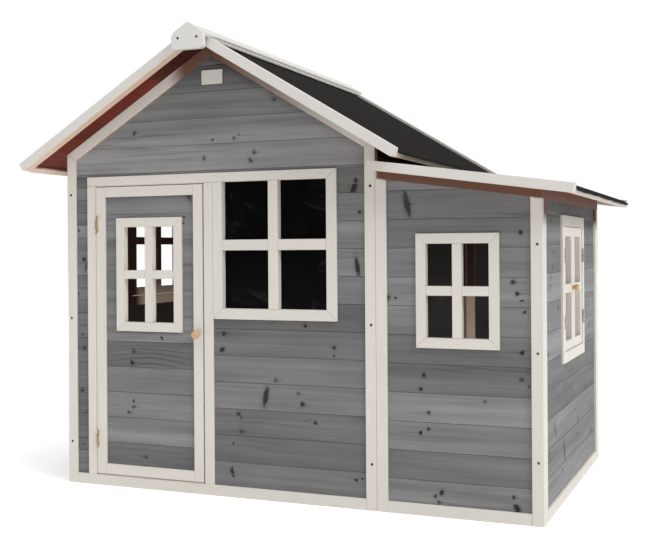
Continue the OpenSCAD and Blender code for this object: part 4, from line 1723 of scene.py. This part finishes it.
@dataclass(frozen=True)
class Fittings:
    """The knobs, hinges and panes, and the heads of the screws.

    A post's screws are its lowest one's height, their pitch and their number. The two on the
    ridge's end piece stand ridge_apart from its middle and ridge_drop below its top.
    """

    head_radius: float = 4.5 * MM
    head_rise: float = 1.1 * MM
    recess_depth: float = 0.8 * MM
    recess_half: float = 0.35 * MM
    recess_share: float = 0.66
    sunk: float = 0.15 * MM
    ridge_squash: float = 0.2
    ridge_apart: float = 33 * MM
    ridge_drop: float = 49 * MM
    screw_inset: float = 15 * MM
    post_screws: tuple[float, float, int] = (140 * MM, 420 * MM, 3)
    annex_screws: tuple[float, float, int] = (180 * MM, 310 * MM, 3)
    FINISHES = {
        "door_knob": Finish.BEECH, "window_knobs": Finish.BEECH,
        "window_hinges": Finish.PALE_STEEL, "hinge_knuckles": Finish.BRASS,
        "hinge_pins": Finish.BRASS, "window_panes": Finish.PANE,
    }

    def build(self) -> None:
        """Finishes the CAD fittings and adds the screws and the door's stops."""
        for node, finish in self.FINISHES.items():
            repaint(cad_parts[node], finish)
            LOG.info("%s: %s", node, finish.name.lower())
        self.screws()
        DoorStops().build()

    def head(self, centre: Sequence[float], facing: Side, squash: float = 1.0) -> tuple[Array, list]:
        """A countersunk screw's head: a low dome with a cross recess.

        Its height is rise times (1 - (distance / radius) squared), less a cross-shaped dip that
        ends at two thirds of the radius. The rim is just under the wood's face, and a flat face
        closes it there.

        Args:
            centre: The middle of the head.
            facing: Which way it looks, to the front or the back.
            squash: How much of the height it keeps.

        Returns:
            The points and the faces.
        """
        spokes, rings = 24, 7
        share = np.linspace(0, 1, rings)[1:, None]
        angle = np.arange(spokes) / spokes * 2 * np.pi
        x, y = (share * self.head_radius * wave for wave in (np.cos(angle), np.sin(angle)))
        cross = np.minimum(np.abs(x), np.abs(y)) < self.recess_half
        recess = cross * (share < self.recess_share) * self.recess_depth
        rise = self.head_rise * (1 - share**2) - recess - self.sunk
        middle = [0, 0, self.head_rise - self.recess_depth - self.sunk]
        flat = np.vstack([middle, np.stack([x, y, rise], -1).reshape(-1, 3)])
        out = np.array(facing.value) * squash
        points = np.array(centre) + flat @ np.array([(1, 0, 0), (0, 0, 1), out])
        ring = np.arange(spokes)
        after = (ring + 1) % spokes
        faces = np.stack([ring * 0, ring + 1, after + 1], -1).tolist()
        for start in range(1, 1 + (rings - 2) * spokes, spokes):
            near, far = start + ring, start + after
            faces += np.stack([near, near + spokes, far + spokes, far], -1).tolist()
        faces.append((1 + (rings - 2) * spokes + ring[::-1]).tolist())
        return points, [face[::-1] for face in faces] if facing is Side.BACK else faces

    def screws(self) -> None:
        """Puts screws in the posts of the front, the back and the annex's corner, and the ridge."""
        corner, far = box_of("front_frame")
        back = box_of("back_frame")[1][1]
        plate, top = box_of("ridge_end_pieces")
        annex_end = box_of("annex_front_frame")[1][0]
        dark, brass = MeshParts(), MeshParts()
        for side in (-1, 1):
            place = (corner[0] + far[0]) / 2 + side * self.ridge_apart
            height = top[2] - self.ridge_drop
            dark.add(*self.head((place, plate[1], height), Side.FRONT, self.ridge_squash))
        posts = (
            (corner[0] + self.screw_inset, self.post_screws, dark),
            (far[0] - self.screw_inset, self.post_screws, dark),
            (annex_end - self.screw_inset, self.annex_screws, brass),
        )
        for place, (lowest, pitch, count), parts in posts:
            for height in (lowest + pitch * n for n in range(count)):
                parts.add(*self.head((place, corner[1], height), Side.FRONT))
                parts.add(*self.head((place, back, height), Side.BACK))
        settle(dark.build("post_screws", Finish.DARK_STEEL, smooth=True), "house", "brass")
        settle(brass.build("annex_screws", Finish.SCREW_BRASS, smooth=True), "house", "brass")


# ---------------------------------------------------------------- studio


@dataclass(frozen=True)
class Lamp:
    """A lamp of one kind at a place, turned to shine from there at the origin, or upwards.

    Spread is the angle that a sun fills, in degrees, or the side of a square lamp, in metres.
    """

    name: str
    place: Point
    spread: float
    power: float

    def hang(self, kind: str, turn: Sequence[float]) -> tuple[bpy.types.Light, bpy.types.Object]:
        """Hangs the lamp.

        Args:
            kind: Its light's type.
            turn: The three angles that it is turned by.

        Returns:
            Its light and its object.
        """
        light = bpy.data.lights.new(self.name, kind)
        light.energy = self.power
        holder = bpy.data.objects.new(self.name, light)
        holder.location = self.place
        holder.rotation_euler = turn
        bpy.context.scene.collection.objects.link(holder)
        return light, holder


class SoftLight(Lamp):
    """Even, soft light from one side of the studio, as from a patch of sky."""

    def build(self) -> None:
        """Hangs the lamp."""
        turn = Vector(self.place).to_track_quat("Z", "Y").to_euler()
        light, _ = self.hang("SUN", turn)
        light.angle = math.radians(self.spread)


class RoomLight(Lamp):
    """A dim square lamp that lies low in the house, shines upwards and isn't seen itself."""

    def build(self) -> None:
        """Lays the lamp."""
        light, holder = self.hang("AREA", (math.pi, 0, 0))
        light.shape = "SQUARE"
        light.size = self.spread
        holder.visible_camera = False


@dataclass(frozen=True)
class Studio:
    """A pale floor, a white surround, soft lamps and the camera."""

    floor_half: float = 30.0
    surround: float = 0.21
    camera_place: Point = (2188.27 * MM, -2951.88 * MM, 789.29 * MM)
    yaw: float = -0.3969
    roll: float = -0.0066
    lens: float = 57.91
    sensor: float = 36.0
    shift_y: float = -0.0396

    def build_floor(self) -> None:
        """Lays the floor under the house."""
        half = self.floor_half
        points = np.array([(-half, -half, 0), (half, -half, 0), (half, half, 0), (-half, half, 0)])
        parts = MeshParts()
        parts.add(points.astype(float), [[0, 1, 2, 3]])
        floor = parts.build("studio_floor", Finish.FLOOR)

    def build_surround(self) -> None:
        """Lights the room evenly from all round, and hangs a white sheet behind the house."""
        world = bpy.data.worlds.new("white_surround")
        bpy.context.scene.world = world
        world.use_nodes = True
        nodes, links = world.node_tree.nodes, world.node_tree.links
        both = nodes.new("ShaderNodeMixShader")
        links.new(nodes.new("ShaderNodeLightPath").outputs["Is Camera Ray"], both.inputs[0])
        glow, sheet = nodes["Background"], nodes.new("ShaderNodeBackground")
        for place, (node, strength) in enumerate(((glow, self.surround), (sheet, 1.0)), start=1):
            node.inputs["Color"].default_value = (1, 1, 1, 1)
            node.inputs["Strength"].default_value = strength
            links.new(node.outputs[0], both.inputs[place])
        links.new(both.outputs[0], nodes["World Output"].inputs["Surface"])

    def build_camera(self) -> None:
        """Stands the camera in front of the house, level, turned and rolled a little."""
        corner = box_of("front_frame")[0]
        place = np.array(self.camera_place) + np.array([corner[0], corner[1], 0])
        forward = Vector((math.sin(self.yaw), math.cos(self.yaw), 0))
        level = Vector((math.cos(self.yaw), -math.sin(self.yaw), 0))
        rise = Vector((0, 0, 1))
        right = level * math.cos(self.roll) + rise * math.sin(self.roll)
        up = rise * math.cos(self.roll) - level * math.sin(self.roll)
        turn = Matrix((right, up, -forward)).transposed()
        data = bpy.data.cameras.new("camera")
        data.lens = self.lens
        data.sensor_width = self.sensor
        data.shift_y = self.shift_y
        camera = bpy.data.objects.new("camera", data)
        camera.matrix_world = Matrix.Translation(Vector(place)) @ turn.to_4x4()
        bpy.context.scene.collection.objects.link(camera)
        bpy.context.scene.camera = camera

    def build(self) -> None:
        """Sets up the whole studio."""
        bpy.context.scene.view_settings.view_transform = "Standard"
        self.build_floor()
        self.build_surround()
        self.build_camera()
        SoftLight("side_window_light", (0.85, -0.3, 0.6), spread=25, power=1.62).build()
        SoftLight("overhead_light", (0.0, -0.1, 1.0), spread=60, power=2.2).build()
        RoomLight("room_light", (0.25, 0.0, 0.1), spread=0.5, power=4.5).build()
        LOG.info("studio ready")


def main() -> None:
    """Builds everything in order."""
    logging.basicConfig(level=logging.INFO, format="%(name)s %(message)s")
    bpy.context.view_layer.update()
    Studio().build()
    Joinery().build()
    BoardedWalls().build()
    Roofs().build()
    Fittings().build()


if __name__ == "__main__":
    main()
